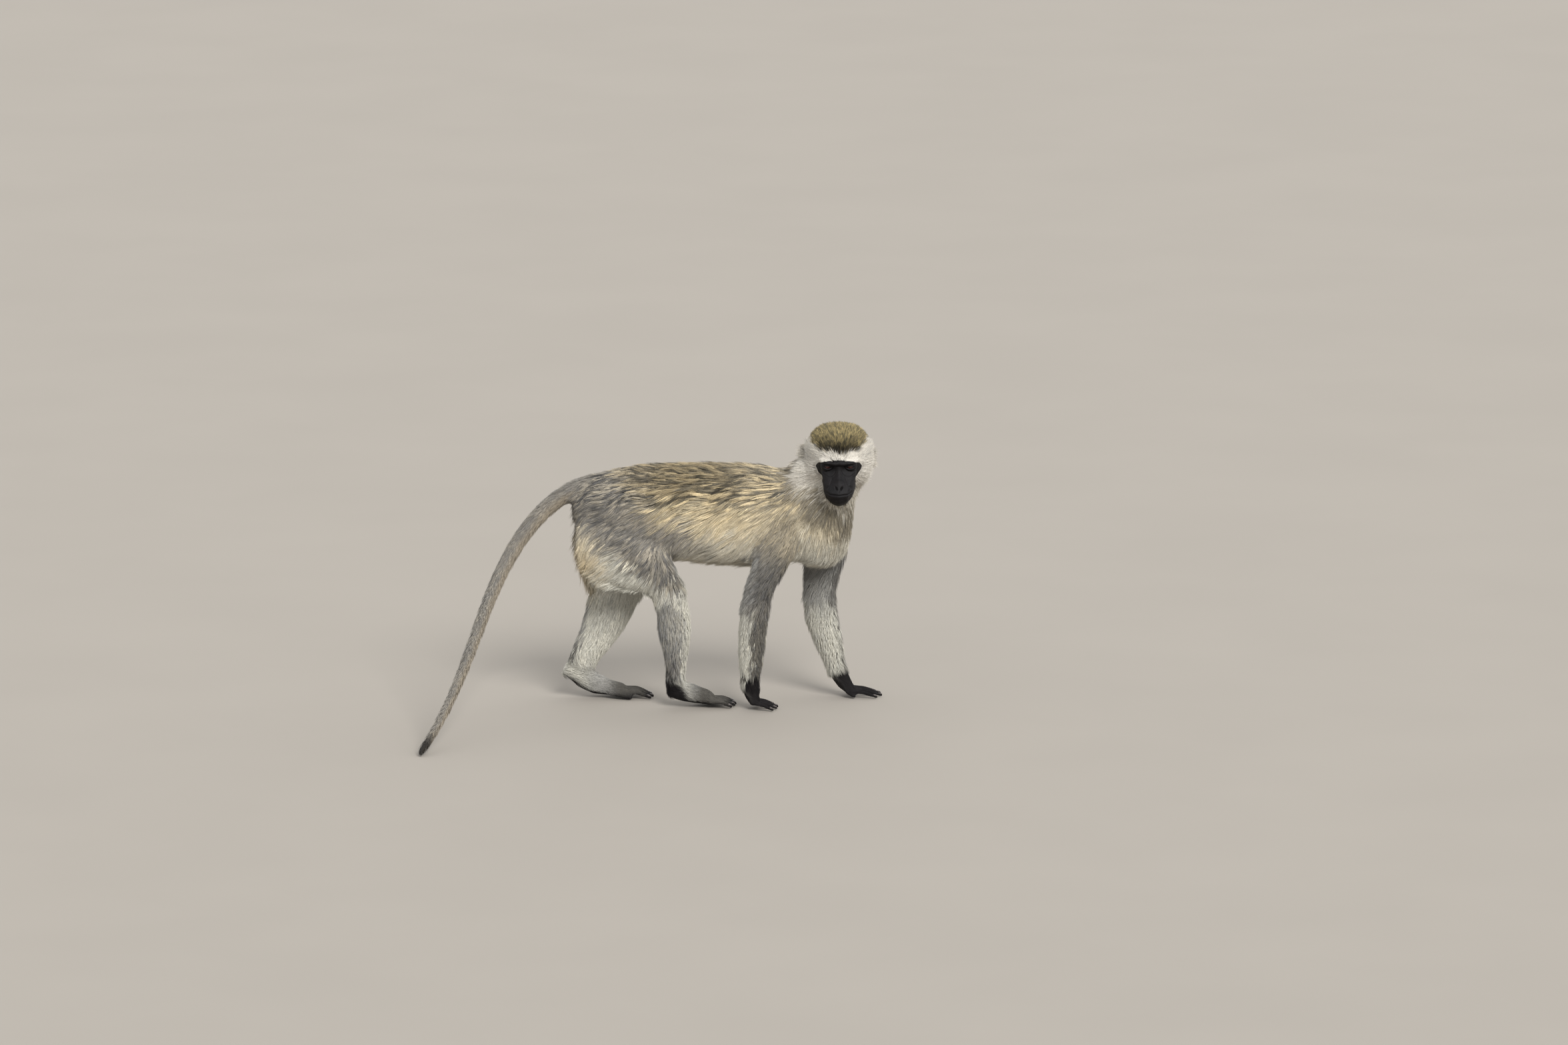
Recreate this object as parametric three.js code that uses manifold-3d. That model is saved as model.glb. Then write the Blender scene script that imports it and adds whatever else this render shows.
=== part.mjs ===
// Vervet monkey, standing in mid-stride with the head turned to its right.
// Frame: millimetres, +X the way the body faces, +Y the animal's left, +Z up.
// Every solid is the true outline of the animal out to the tips of its coat.
import * as THREE from "three";
import { mergeVertices } from "three/addons/utils/BufferGeometryUtils.js";
import Module from "manifold-3d";

// ---- driving dimensions ------------------------------------------------
const BACK_TOP = 342;          // highest line of the back
const BELLY_LOW = 197;         // lowest line of the belly coat
const TRUNK_HALF_WIDTH = 55;   // half the width of the barrel of the body
const HIP_HEIGHT = 272;
const SHOULDER_HEIGHT = 266;
const HEAD_CENTRE = [182, -22, 354];
const HEAD_PITCH = 13;         // degrees the face looks down
const RUFF_HALF_WIDTH = 59;    // half the width of the head across the cheek ruff
const EYE_SPACING = 31;        // between the two eye centres
const EYE_RADIUS = 8.8;
const TAIL_ROOT_RADIUS = 15;
const TAIL_TIP_RADIUS = 6.4;
const FINGER_RADIUS = 4.0;
const TOE_RADIUS = 4.4;
const GAP = 0.35;              // thin cut between neighbouring parts
const FINENESS = 0.12;         // facets closer than this to flat are merged
const DIGIT_FINENESS = 0.3;    // the same on hands and feet

// ---- colours (sRGB) ----------------------------------------------------
const OLIVE = 0x94845f;
const GREY = 0x8a857c;
const PALE = 0xc9c2b2;
const BLACK = 0x2b2829;
const EYE_BROWN = 0x3a1d18;

const wasm = await Module();
wasm.setup();

const radians = THREE.MathUtils.degToRad;
const vec = (p) => new THREE.Vector3(p[0], p[1], p[2]);

function toManifold(geometry) {
  const plain = geometry.clone();
  plain.deleteAttribute("normal");
  plain.deleteAttribute("uv");
  const merged = mergeVertices(plain, 1e-4);
  const mesh = new wasm.Mesh({
    numProp: 3,
    vertProperties: new Float32Array(merged.attributes.position.array),
    triVerts: new Uint32Array(merged.index.array),
  });
  return new wasm.Manifold(mesh);
}

function toGeometry(solid) {
  const mesh = solid.getMesh();
  const geometry = new THREE.BufferGeometry();
  const corners = new Float32Array(mesh.vertProperties);
  geometry.setAttribute("position", new THREE.BufferAttribute(corners, 3));
  geometry.setIndex(new THREE.BufferAttribute(new Uint32Array(mesh.triVerts), 1));
  geometry.computeVertexNormals();
  return geometry;
}

const bend = (value, power) => Math.sign(value) * Math.abs(value) ** (2 / power);

// A closed body swept along a smooth spine. Each station is
// [x, y, z, side, front, back]: its centre and its half sizes across,
// towards `ref` and away from `ref`.
function limb(stations, options) {
  const { ref, steps, sides = 14, power = 2, grow = 0 } = options;
  const { capStart = 1, capEnd = 1, capRings = 2 } = options;
  const startRings = options.startRings ?? capRings;
  const spine = new THREE.CatmullRomCurve3(stations.map(vec), false, "centripetal");
  const sizes = new THREE.CatmullRomCurve3(
    stations.map((s) => new THREE.Vector3(s[3], s[4], s[5] ?? s[4])), false, "centripetal");
  const count = steps ?? (stations.length - 1) * 2;
  const guide = vec(ref);
  const rings = [];
  const addRing = (t, scale, shift) => {
    const tangent = spine.getTangent(t);
    const front = guide.clone().addScaledVector(tangent, -guide.dot(tangent)).normalize();
    const side = tangent.clone().cross(front).normalize();
    const size = sizes.getPoint(t);
    const centre = spine.getPoint(t).addScaledVector(tangent, shift);
    const ring = [];
    for (let j = 0; j < sides; j += 1) {
      const angle = (2 * Math.PI * (j + 0.5)) / sides;
      const across = bend(Math.cos(angle), power) * size.x * scale;
      const lift = bend(Math.sin(angle), power);
      const along = lift * (lift > 0 ? size.y : size.z) * scale;
      ring.push(centre.clone().addScaledVector(side, across).addScaledVector(front, along));
    }
    rings.push(ring);
  };
  const pole = (t, shift) => spine.getPoint(t).addScaledVector(spine.getTangent(t), shift);
  const reach = (size, share) => ((size.x + size.y + size.z) / 3) * share;
  const startReach = reach(sizes.getPoint(0), capStart);
  const endReach = reach(sizes.getPoint(1), capEnd);
  for (let k = startRings; k >= 1; k -= 1) {
    const angle = (k / (startRings + 1)) * Math.PI / 2;
    addRing(0, Math.cos(angle), -startReach * Math.sin(angle));
  }
  for (let i = 0; i <= count; i += 1) {
    addRing(i / count, 1, 0);
  }
  for (let k = 1; k <= capRings; k += 1) {
    const angle = (k / (capRings + 1)) * Math.PI / 2;
    addRing(1, Math.cos(angle), endReach * Math.sin(angle));
  }
  const points = rings.flat();
  const first = points.length;
  points.push(pole(0, -startReach), pole(1, endReach));
  const index = [];
  for (let i = 0; i + 1 < rings.length; i += 1) {
    for (let j = 0; j < sides; j += 1) {
      const a = i * sides + j;
      const b = i * sides + ((j + 1) % sides);
      index.push(a, b, a + sides, b, b + sides, a + sides);
    }
  }
  const last = (rings.length - 1) * sides;
  for (let j = 0; j < sides; j += 1) {
    const k = (j + 1) % sides;
    index.push(first, k, j);
    index.push(first + 1, last + j, last + k);
  }
  const geometry = new THREE.BufferGeometry();
  const corners = points.flatMap((p) => p.toArray());
  geometry.setAttribute("position", new THREE.Float32BufferAttribute(corners, 3));
  geometry.setIndex(index);
  let solid = toManifold(geometry);
  if (solid.volume() < 0) {
    for (let i = 0; i < index.length; i += 3) {
      [index[i], index[i + 1]] = [index[i + 1], index[i]];
    }
    geometry.setIndex(index);
    solid = toManifold(geometry);
  }
  if (grow === 0) {
    return solid;
  }
  geometry.computeVertexNormals();
  const { position, normal } = geometry.attributes;
  for (let i = 0; i < position.count; i += 1) {
    position.setXYZ(
      i,
      position.getX(i) + grow * normal.getX(i),
      position.getY(i) + grow * normal.getY(i),
      position.getZ(i) + grow * normal.getZ(i));
  }
  return toManifold(geometry);
}

function ball(centre, sizes, turn = [0, 0, 0], detail = [18, 12]) {
  const shape = new THREE.SphereGeometry(1, detail[0], detail[1]);
  shape.scale(sizes[0], sizes[1], sizes[2]);
  const angles = new THREE.Euler(...turn.map(radians));
  shape.applyMatrix4(new THREE.Matrix4().makeRotationFromEuler(angles));
  shape.translate(centre[0], centre[1], centre[2]);
  return toManifold(shape);
}

// Divides a solid by a thin flat cut: [side the normal points to, other side].
function divide(solid, point, normal) {
  const n = vec(normal).normalize();
  const offset = n.dot(vec(point));
  const over = solid.trimByPlane(n.toArray(), offset + GAP / 2);
  const under = solid.trimByPlane(n.clone().negate().toArray(), -(offset - GAP / 2));
  return [over, under];
}

const join = (solids) => solids.reduce((sum, solid) => sum.add(solid));

// ---- trunk and breast ---------------------------------------------------
const UP = [0, 0, 1];
const AHEAD = [1, 0, 0];

// x, height of the back, height of the belly, half width
const barrel = [
  [-174, BACK_TOP - 29, BELLY_LOW + 50, 30],
  [-156, BACK_TOP - 15, BELLY_LOW + 32, 42],
  [-120, BACK_TOP - 7, BELLY_LOW + 14, TRUNK_HALF_WIDTH - 4],
  [-70, BACK_TOP - 2, BELLY_LOW + 5, TRUNK_HALF_WIDTH - 2],
  [-10, BACK_TOP, BELLY_LOW, TRUNK_HALF_WIDTH],
  [50, BACK_TOP - 2, BELLY_LOW - 4, TRUNK_HALF_WIDTH],
  [100, BACK_TOP - 6, BELLY_LOW - 6, TRUNK_HALF_WIDTH - 2],
  [138, BACK_TOP - 14, BELLY_LOW + 6, TRUNK_HALF_WIDTH - 9],
];
const trunk = limb(
  barrel.map(([x, top, low, half]) => {
    const rise = (top - low) / 2;
    return [x, 0, low + rise, half, rise, rise];
  }),
  { ref: UP, sides: 16, power: 2.15, steps: 11, capStart: 0.42, capEnd: 0.6, capRings: 1 });

const nape = limb([
  [96, 0, 290, 44, 42, 40],
  [128, 2, 301, 43, 38, 44],
  [158, 2, 324, 40, 36, 46],
  [176, -2, 344, 36, 34, 44],
], { ref: UP, sides: 12, steps: 4, capStart: 0.4, capEnd: 0.4, capRings: 1 });

const breast = limb([
  [178, -14, 336, 40, 33, 36],
  [173, -10, 298, 43, 39, 46],
  [164, -4, 262, 44, 41, 56],
  [158, 0, 234, 42, 45, 54],
  [146, 0, 214, 36, 40, 44],
], { ref: AHEAD, sides: 12, steps: 6, capStart: 0.5, capEnd: 0.45, capRings: 1 });

// ---- head ---------------------------------------------------------------
// Head frame: s across (+ towards +X), f the way the face looks, u up.
const pitch = radians(HEAD_PITCH);
const headX = new THREE.Vector3(1, 0, 0);
const headF = new THREE.Vector3(0, -Math.cos(pitch), -Math.sin(pitch));
const headU = new THREE.Vector3(0, -Math.sin(pitch), Math.cos(pitch));
function onHead(s, f, u) {
  const point = vec(HEAD_CENTRE).addScaledVector(headX, s);
  return point.addScaledVector(headF, f).addScaledVector(headU, u).toArray();
}

// f, u of the centre, half width, half height above, half height below
const skullRings = [
  [-48, 2, 27, 24, 24],
  [-36, 1, 42, 37, 36],
  [-16, 0, RUFF_HALF_WIDTH - 6, 47, 50],
  [4, 0, RUFF_HALF_WIDTH - 1, 49.5, 60],
  [17, -1, RUFF_HALF_WIDTH, 46, 62],
  [26, -2, RUFF_HALF_WIDTH - 5, 38, 56],
  [31, -4, RUFF_HALF_WIDTH - 16, 29, 46],
];
const skullShape = {
  ref: headU.toArray(), sides: 18, power: 2.1, steps: 9, capStart: 0.35, capEnd: 0.06, capRings: 1,
};
const skullSolid = (grow) => limb(
  skullRings.map(([f, u, half, above, below]) => [...onHead(-1, f, u), half, above, below]),
  { ...skullShape, grow });

// u, half width of the bare face, how far forward it reaches
const FACE_ROOT = 12;
const faceRings = [
  [12, 30, 38],
  [8, 35.5, 44],
  [1, 36, 42.5],
  [-7, 33, 46],
  [-15, 28, 57],
  [-23, 25, 70],
  [-31, 25.5, 75],
  [-40, 23.5, 72.5],
  [-48, 18, 65],
  [-53, 12, 57],
];
const faceShape = {
  ref: headF.toArray(), sides: 14, power: 2.5, steps: 10, capStart: 0.1, capEnd: 0.1, capRings: 1,
};
const faceSolid = (grow) => limb(
  faceRings.map(([u, half, front]) => [...onHead(0, FACE_ROOT, u), half, front - FACE_ROOT, 14]),
  { ...faceShape, grow });

const browSolid = (grow) => limb([
  [...onHead(-29, 32, 5), 5, 4.5, 4.5],
  [...onHead(-15, 41, 8.5), 5.5, 4.5, 4.5],
  [...onHead(0, 42.5, 8.5), 5.5, 4.5, 4.5],
  [...onHead(15, 41, 8.5), 5.5, 4.5, 4.5],
  [...onHead(29, 32, 5), 5, 4.5, 4.5],
], { ref: headU.toArray(), sides: 6, steps: 4, capRings: 1, grow });

const eyeBall = (side, grow) => {
  const size = EYE_RADIUS + grow;
  const centre = onHead(side * EYE_SPACING / 2, 33.8, 0);
  return ball(centre, [size, size, size], [90 + HEAD_PITCH, 0, 0], [12, 7]);
};

const earTurn = (side) => [0, 0, side * 24];
const earSolid = (side, grow) => ball(
  onHead(side * (RUFF_HALF_WIDTH - 6) - 1, -14, -8),
  [6 + grow, 10 + grow, 13 + grow], earTurn(side), [10, 6]);
const earHollow = (side) => ball(
  onHead(side * (RUFF_HALF_WIDTH + 0.5) - 1, -9, -7), [6, 7, 9.5], earTurn(side), [8, 5]);

// ---- arms ----------------------------------------------------------------
const armShape = {
  ref: AHEAD, sides: 10, steps: 9, capStart: 0.5, capEnd: 0.4, capRings: 1, startRings: 0,
};
const nearArm = (grow) => limb([
  [114, -28, SHOULDER_HEIGHT + 12, 14, 28, 30],
  [97, -39, 222, 19, 30, 30],
  [78, -44, 185, 20, 24, 24],
  [68, -45, 150, 20, 22, 22],
  [64, -45, 111, 19, 21.5, 22],
  [61.5, -44, 72, 17.5, 19.5, 20],
  [60, -43, 42, 14.5, 15, 15.5],
  [59.5, -42, 28, 12.5, 12.5, 12.5],
], { ...armShape, grow });

const farArm = (grow) => limb([
  [162, 26, SHOULDER_HEIGHT + 10, 14, 30, 34],
  [166, 36, 226, 19, 36, 34],
  [161, 40, 185, 20, 31, 31],
  [156, 41, 146, 20, 24, 24],
  [159, 40, 108, 19, 25, 25],
  [170, 38, 73, 17.5, 21, 20],
  [177, 37, 46, 14.5, 16, 16],
  [181, 36.5, 33, 12.5, 13, 13],
], { ...armShape, grow });

// A digit: base, raised knuckle, tip and radius.
function digit(base, knuckle, tip, radius) {
  return limb([
    [...base, radius, radius],
    [...knuckle, radius * 0.98, radius],
    [...tip, radius * 0.88, radius * 0.85],
  ], { ref: UP, sides: 5, steps: 2, capStart: 0.5, capEnd: 1, capRings: 1, startRings: 0 });
}

// Four digits fanned ahead from `root`, the longest second from the inside.
function digits(root, reach, lengths, spacing, radius, inward, turn, fan) {
  return lengths.map((share, i) => {
    const spread = radians(turn + (1.5 - i) * fan * inward);
    const along = (distance, z) => [
      root[0] + distance * Math.cos(spread),
      root[1] + (1.5 - i) * spacing * inward + distance * Math.sin(spread),
      z,
    ];
    const length = reach * share;
    const knuckle = along(length * 0.48, radius * 2.1);
    return digit(along(-5, root[2]), knuckle, along(length, radius * 0.7), radius);
  });
}

// Hand: wrist above, knuckles low, four fingers ahead, thumb on the inner side.
function hand(wrist, heel, knuckles, reach, inward, turn) {
  const palm = limb([
    [...wrist, 12.5, 12.5],
    [...heel, 13.5, 12],
    [...knuckles, 15, 8],
  ], { ref: AHEAD, sides: 8, power: 2.3, steps: 3, capStart: 0.5, capEnd: 0.7, capRings: 1 });
  const thumbSide = knuckles[1] + inward * 13;
  const thumb = digit(
    [heel[0] + 3, heel[1] + inward * 9, heel[2] - 8],
    [knuckles[0] - 2, thumbSide + inward * 3, 8],
    [knuckles[0] + 8, thumbSide + inward * 5, FINGER_RADIUS * 0.7], FINGER_RADIUS * 0.95);
  const fingers = digits(
    knuckles, reach, [0.86, 1, 0.97, 0.82], 8.5, FINGER_RADIUS, inward, turn, 6);
  return join([palm, thumb, ...fingers]);
}
const nearHand = hand([59.5, -42, 36], [61.5, -42, 24], [65, -42, 11], 33, 1, -6);
const farHand = hand([180, 36.5, 38], [187, 36, 24], [197, 36, 11], 45, -1, 2);

// ---- legs -----------------------------------------------------------------
const legShape = {
  ref: AHEAD, sides: 12, steps: 7, capStart: 0.4, capEnd: 0.5, capRings: 1, startRings: 0,
};
const nearThigh = (grow) => limb([
  [-140, -22, HIP_HEIGHT + 14, 14, 28, 32],
  [-128, -32, 250, 22, 42, 56],
  [-98, -38, 218, 26, 40, 58],
  [-66, -37, 188, 24, 32, 40],
  [-50, -36, 164, 21, 25, 27],
], { ...legShape, grow });
const nearShank = (grow) => limb([
  [-56, -36, 182, 19, 24, 24],
  [-46, -35, 150, 20, 23, 27],
  [-43, -33, 113, 19, 24.5, 28],
  [-42, -31, 78, 16, 19.5, 21.5],
  [-43, -30, 50, 13, 16, 16],
  [-44, -30, 28, 12, 14, 15],
], { ...legShape, sides: 10, grow });

const farThigh = (grow) => limb([
  [-142, 22, HIP_HEIGHT + 12, 14, 28, 32],
  [-140, 32, 244, 22, 44, 45],
  [-126, 38, 206, 26, 48, 57],
  [-114, 38, 172, 24, 40, 54],
  [-110, 37, 152, 21, 30, 42],
], { ...legShape, grow });
const farShank = (grow) => limb([
  [-108, 37, 170, 20, 28, 42],
  [-118, 36, 142, 20, 28, 49],
  [-136, 34, 112, 19, 30, 40],
  [-156, 32, 82, 16, 28, 27],
  [-172, 31, 58, 13.5, 24, 22],
  [-183, 31, 38, 12, 18, 16],
], { ...legShape, sides: 10, grow });

// Foot: heel, bend and ball along the sole, four toes ahead, great toe inside.
function foot(stations, ballPoint, reach, inward, turn) {
  const sole = limb(stations, {
    ref: UP, sides: 10, power: 2.3, steps: 5, capStart: 0.7, capEnd: 0.5, capRings: 1,
  });
  const side = ballPoint[1] + inward * 13;
  const greatToe = digit(
    [ballPoint[0] - 24, side - inward * 2, 8],
    [ballPoint[0] - 10, side + inward * 5, 7],
    [ballPoint[0] + 6, side + inward * 9, TOE_RADIUS * 0.8], TOE_RADIUS * 1.1);
  const toes = digits(
    ballPoint, reach, [0.92, 1, 0.95, 0.8], 9.2, TOE_RADIUS, inward, turn, 3);
  return join([sole, greatToe, ...toes]);
}
const nearFoot = foot([
  [-49, -29, 25, 11.5, 14, 12],
  [-40, -29, 22, 12.5, 18, 13],
  [-22, -29, 17, 13.5, 15, 12],
  [-2, -29, 13, 14.5, 12.5, 10],
  [6, -28, 10.5, 15.5, 9, 8.5],
], [8, -28, 10], 32, 1, 2);
const farFoot = foot([
  [-196, 31, 38, 11, 14, 12],
  [-184, 31, 33, 12.5, 20, 14],
  [-164, 31.5, 20, 13.5, 19, 14],
  [-138, 32, 13, 14.5, 12.5, 11],
  [-118, 32, 10.5, 15.5, 9, 8.5],
], [-112, 32, 10], 37, -1, -3);

// ---- tail ------------------------------------------------------------------
// Leaves the rump level, falls behind and swings to the right until it lies on the floor.
const tailCurve = [
  [-146, 0, 312],
  [-182, -3, 302],
  [-222, -12, 276],
  [-258, -34, 236],
  [-284, -66, 194],
  [-304, -108, 152],
  [-321, -160, 112],
  [-341, -222, 70],
  [-363, -280, 33],
  [-384, -328, 7.2],
];
const tailRadius = (share) => THREE.MathUtils.lerp(TAIL_ROOT_RADIUS, TAIL_TIP_RADIUS, share ** 0.85);
const tailSolid = (grow) => limb(
  tailCurve.map((p, i) => {
    const radius = tailRadius(i / (tailCurve.length - 1));
    return [...p, radius, radius];
  }),
  { ref: UP, sides: 8, steps: 18, capStart: 0.6, capEnd: 1.4, startRings: 0, grow });

// ---- fit the parts together with thin gaps ------------------------------------
const onFloor = (solid) => solid.trimByPlane([0, 0, 1], 0);
const parts = [];
const keep = (name, colour, solid) => parts.push([name, colour, solid]);

// Chain of one arm or leg: cut at the wrist or ankle, and at the elbow or knee.
function limbParts(names, colours, chain, lowCut, highCut) {
  const [above, end] = divide(chain, ...lowCut);
  const [upper, middle] = divide(above, ...highCut);
  keep(names[0], colours[0], onFloor(end));
  keep(names[1], colours[1], middle);
  keep(names[2], colours[2], upper);
}
limbParts(
  ["hand_r", "forearm_r", "upper_arm_r"], [BLACK, GREY, GREY],
  join([nearArm(0), nearHand]),
  [[60, -42, 34], [0.05, 0, 1]], [[67, -44, 148], [0.12, 0, 1]]);
limbParts(
  ["hand_l", "forearm_l", "upper_arm_l"], [BLACK, GREY, GREY],
  join([farArm(0), farHand]),
  [[179, 36, 38], [-0.3, 0, 1]], [[156, 40, 146], [0, 0, 1]]);
limbParts(
  ["foot_r", "shank_r", "thigh_r"], [BLACK, GREY, GREY],
  join([nearThigh(0), nearShank(0), nearFoot]),
  [[-43, -30, 42], [0.12, 0, 1]], [[-52, -36, 164], [-0.5, 0, 1]]);
limbParts(
  ["foot_l", "shank_l", "thigh_l"], [BLACK, PALE, PALE],
  join([farThigh(0), farShank(0), farFoot]),
  [[-178, 31, 52], [0.15, 0, 1]], [[-116, 37, 152], [0, 0, 1]]);

const limbSpace = join([
  nearArm(GAP), farArm(GAP), nearThigh(GAP), farThigh(GAP), nearShank(GAP), farShank(GAP),
]);
const tail = tailSolid(0);
const earSpace = join([earSolid(-1, GAP), earSolid(1, GAP)]);
const faceSpace = join([faceSolid(GAP), browSolid(GAP)]);

keep("eye_r", EYE_BROWN, eyeBall(-1, 0));
keep("eye_l", EYE_BROWN, eyeBall(1, 0));
const eyeSpace = join([eyeBall(-1, GAP), eyeBall(1, GAP)]);
keep("face", BLACK, join([faceSolid(0), browSolid(0)]).subtract(eyeSpace));
keep("ear_r", BLACK, earSolid(-1, 0).subtract(earHollow(-1)));
keep("ear_l", BLACK, earSolid(1, 0).subtract(earHollow(1)));
keep("head", OLIVE, skullSolid(0).subtract(faceSpace).subtract(earSpace));

const bodySpace = join([limbSpace, skullSolid(GAP), faceSpace, earSpace, tailSolid(GAP)]);
const body = join([trunk, nape, breast]).subtract(bodySpace);
const [neck, trunkRest] = divide(body, [150, -6, 292], [0.75, -0.1, 0.85]);
const [chest, rear] = divide(trunkRest, [62, 0, 268], [1, 0, 0]);
const [belly, rump] = divide(rear, [-72, 0, 268], [1, 0, 0]);
keep("neck", OLIVE, neck);
keep("chest", OLIVE, chest);
keep("belly", OLIVE, belly);
keep("rump", OLIVE, rump);

// The tail is divided into nearly straight lengths.
let tailRest = onFloor(tail);
[[-240, -22, 256], [-296, -88, 170], [-333, -200, 86], [-364, -282, 31]].forEach((point, i) => {
  const toward = [[0.62, 0.42, 0.66], [0.3, 0.62, 0.72], [0.25, 0.8, 0.55], [0.3, 0.78, 0.55]][i];
  const [length, further] = divide(tailRest, point, toward);
  keep(`tail_${i + 1}`, GREY, length);
  tailRest = further;
});
keep("tail_5", BLACK, tailRest);

const monkey = new THREE.Group();
monkey.name = "vervet_monkey";
parts.forEach(([name, colour, solid]) => {
  const material = new THREE.MeshStandardMaterial({ color: colour, roughness: 0.9, metalness: 0 });
  const fineness = /hand|foot/.test(name) ? DIGIT_FINENESS : FINENESS;
  const mesh = new THREE.Mesh(toGeometry(solid.simplify(fineness)), material);
  mesh.name = name;
  monkey.add(mesh);
});

// Centre the whole over the floor origin.
const bounds = new THREE.Box3().setFromObject(monkey);
const middle = bounds.getCenter(new THREE.Vector3());
monkey.children.forEach((mesh) => mesh.geometry.translate(-middle.x, -middle.y, -bounds.min.z));

export default monkey;
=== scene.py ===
"""Vervet monkey: one skin, a coat of fine tufts, eyes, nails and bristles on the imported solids."""
import math
from functools import partial

import bmesh
import bpy
import numpy as np
from bpy.props import FloatProperty, FloatVectorProperty, PointerProperty
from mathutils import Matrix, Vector
from mathutils.bvhtree import BVHTree
from mathutils.kdtree import KDTree


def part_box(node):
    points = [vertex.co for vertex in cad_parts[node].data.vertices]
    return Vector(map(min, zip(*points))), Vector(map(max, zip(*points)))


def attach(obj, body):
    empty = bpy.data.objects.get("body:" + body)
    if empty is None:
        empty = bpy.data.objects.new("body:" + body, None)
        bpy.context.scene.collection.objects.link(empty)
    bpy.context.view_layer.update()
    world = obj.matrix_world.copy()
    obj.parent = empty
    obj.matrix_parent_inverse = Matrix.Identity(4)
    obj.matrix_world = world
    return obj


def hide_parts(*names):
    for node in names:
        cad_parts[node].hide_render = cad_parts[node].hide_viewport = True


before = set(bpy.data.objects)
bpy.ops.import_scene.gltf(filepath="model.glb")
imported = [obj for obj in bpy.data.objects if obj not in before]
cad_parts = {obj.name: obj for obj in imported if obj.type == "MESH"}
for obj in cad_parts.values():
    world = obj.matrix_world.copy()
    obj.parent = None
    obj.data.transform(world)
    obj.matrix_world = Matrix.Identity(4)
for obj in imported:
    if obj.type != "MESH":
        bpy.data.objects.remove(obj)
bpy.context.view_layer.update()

bl_info = {
    "name": "Vervet Monkey",
    "version": (1, 0, 0),
    "blender": (4, 5, 0),
    "location": "3D View > Sidebar > Monkey",
    "description": "Builds a life-size vervet monkey in mid-stride",
    "category": "Object",
}

MM = 0.001
X, Y, Z = np.eye(3)
EYES = ["eye_r", "eye_l"]
FLESH = sorted(set(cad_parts) - set(EYES))
EARS = ["ear_r", "ear_l"]
HARD = ["face", *EARS, "hand_r", "hand_l", "foot_r", "foot_l"]
TAIL = ["tail_1", "tail_2", "tail_3", "tail_4", "tail_5"]
SIDES = {"r": -1, "l": 1}


# ---- small tools ---------------------------------------------------------------

def unit(v):
    return v / np.maximum(np.linalg.norm(v, axis=-1, keepdims=True), 1e-9)


def step(low, high, x):
    """Smooth 0 to 1 as x goes from low to high."""
    t = np.clip((x - low) / (high - low), 0, 1)
    return t * t * (3 - 2 * t)


def mix(a, b, share):
    """a where share is 0, b where it is 1; a and b may be vectors or rows of vectors."""
    share = np.asarray(share)
    if share.ndim and any(np.ndim(v) and np.shape(v) != share.shape for v in (a, b)):
        share = share[..., None]
    return a * (1 - share) + b * share


def bell(x, width):
    return np.exp(-((x / width) ** 2))


def linear(colour):
    """Screen colour 0..1 as scene-linear numbers."""
    c = np.asarray(colour, float)
    return np.where(c <= 0.04045, c / 12.92, ((c + 0.055) / 1.055) ** 2.4)


class Ripple:
    """Smooth seeded noise in space, about -1 to 1, of a given wavelength in mm."""

    def __init__(self, seed, wavelength, waves=14):
        rng = np.random.default_rng(seed)
        directions = unit(rng.normal(size=(waves, 3)))
        lengths = wavelength * rng.uniform(0.7, 1.5, (waves, 1))
        self.waves = directions * (2 * math.pi / lengths)
        self.phase = rng.uniform(0, 2 * math.pi, waves)

    def __call__(self, p):
        return np.sin(p @ self.waves.T + self.phase).sum(1) / math.sqrt(len(self.phase) * 0.6)


def points_of(me):
    """Points of a mesh, in mm."""
    co = np.empty(len(me.vertices) * 3, np.float32)
    me.vertices.foreach_get("co", co)
    return co.reshape(-1, 3).astype(float) / MM


def put_points(me, points):
    me.vertices.foreach_set("co", (points * MM).astype(np.float32).ravel())
    me.update()


def triangles_of(me):
    me.calc_loop_triangles()
    tri = np.empty(len(me.loop_triangles) * 3, np.int32)
    me.loop_triangles.foreach_get("vertices", tri)
    return tri.reshape(-1, 3)


def solid(name):
    """Points, in mm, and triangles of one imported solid."""
    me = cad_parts[name].data
    return points_of(me), triangles_of(me)


def stacked(nodes):
    """Several solids in one set of points and triangles, and the solid of each triangle."""
    points, faces, owner, base = [], [], [], 0
    for node in nodes:
        p, t = solid(node)
        points.append(p)
        faces.append(t + base)
        owner += [node] * len(t)
        base += len(p)
    return np.vstack(points), np.vstack(faces), owner


def box(name):
    """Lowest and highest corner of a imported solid, in mm."""
    low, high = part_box(name)
    return np.array(low) / MM, np.array(high) / MM


def along_box(p, name, axis=0):
    """0 at the low end of a solid's box, 1 at its high end."""
    low, high = box(name)
    return (p[:, axis] - low[axis]) / (high - low)[axis]


def part(weights, *names):
    """How much of each point belongs to the named solids."""
    return sum(weights[:, FLESH.index(name)] for name in names)


def normals_of(points, tri):
    face = np.cross(points[tri[:, 1]] - points[tri[:, 0]], points[tri[:, 2]] - points[tri[:, 0]])
    total = np.zeros_like(points)
    for corner in range(3):
        for axis in range(3):
            total[:, axis] += np.bincount(tri[:, corner], face[:, axis], len(points))
    return unit(total)


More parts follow.
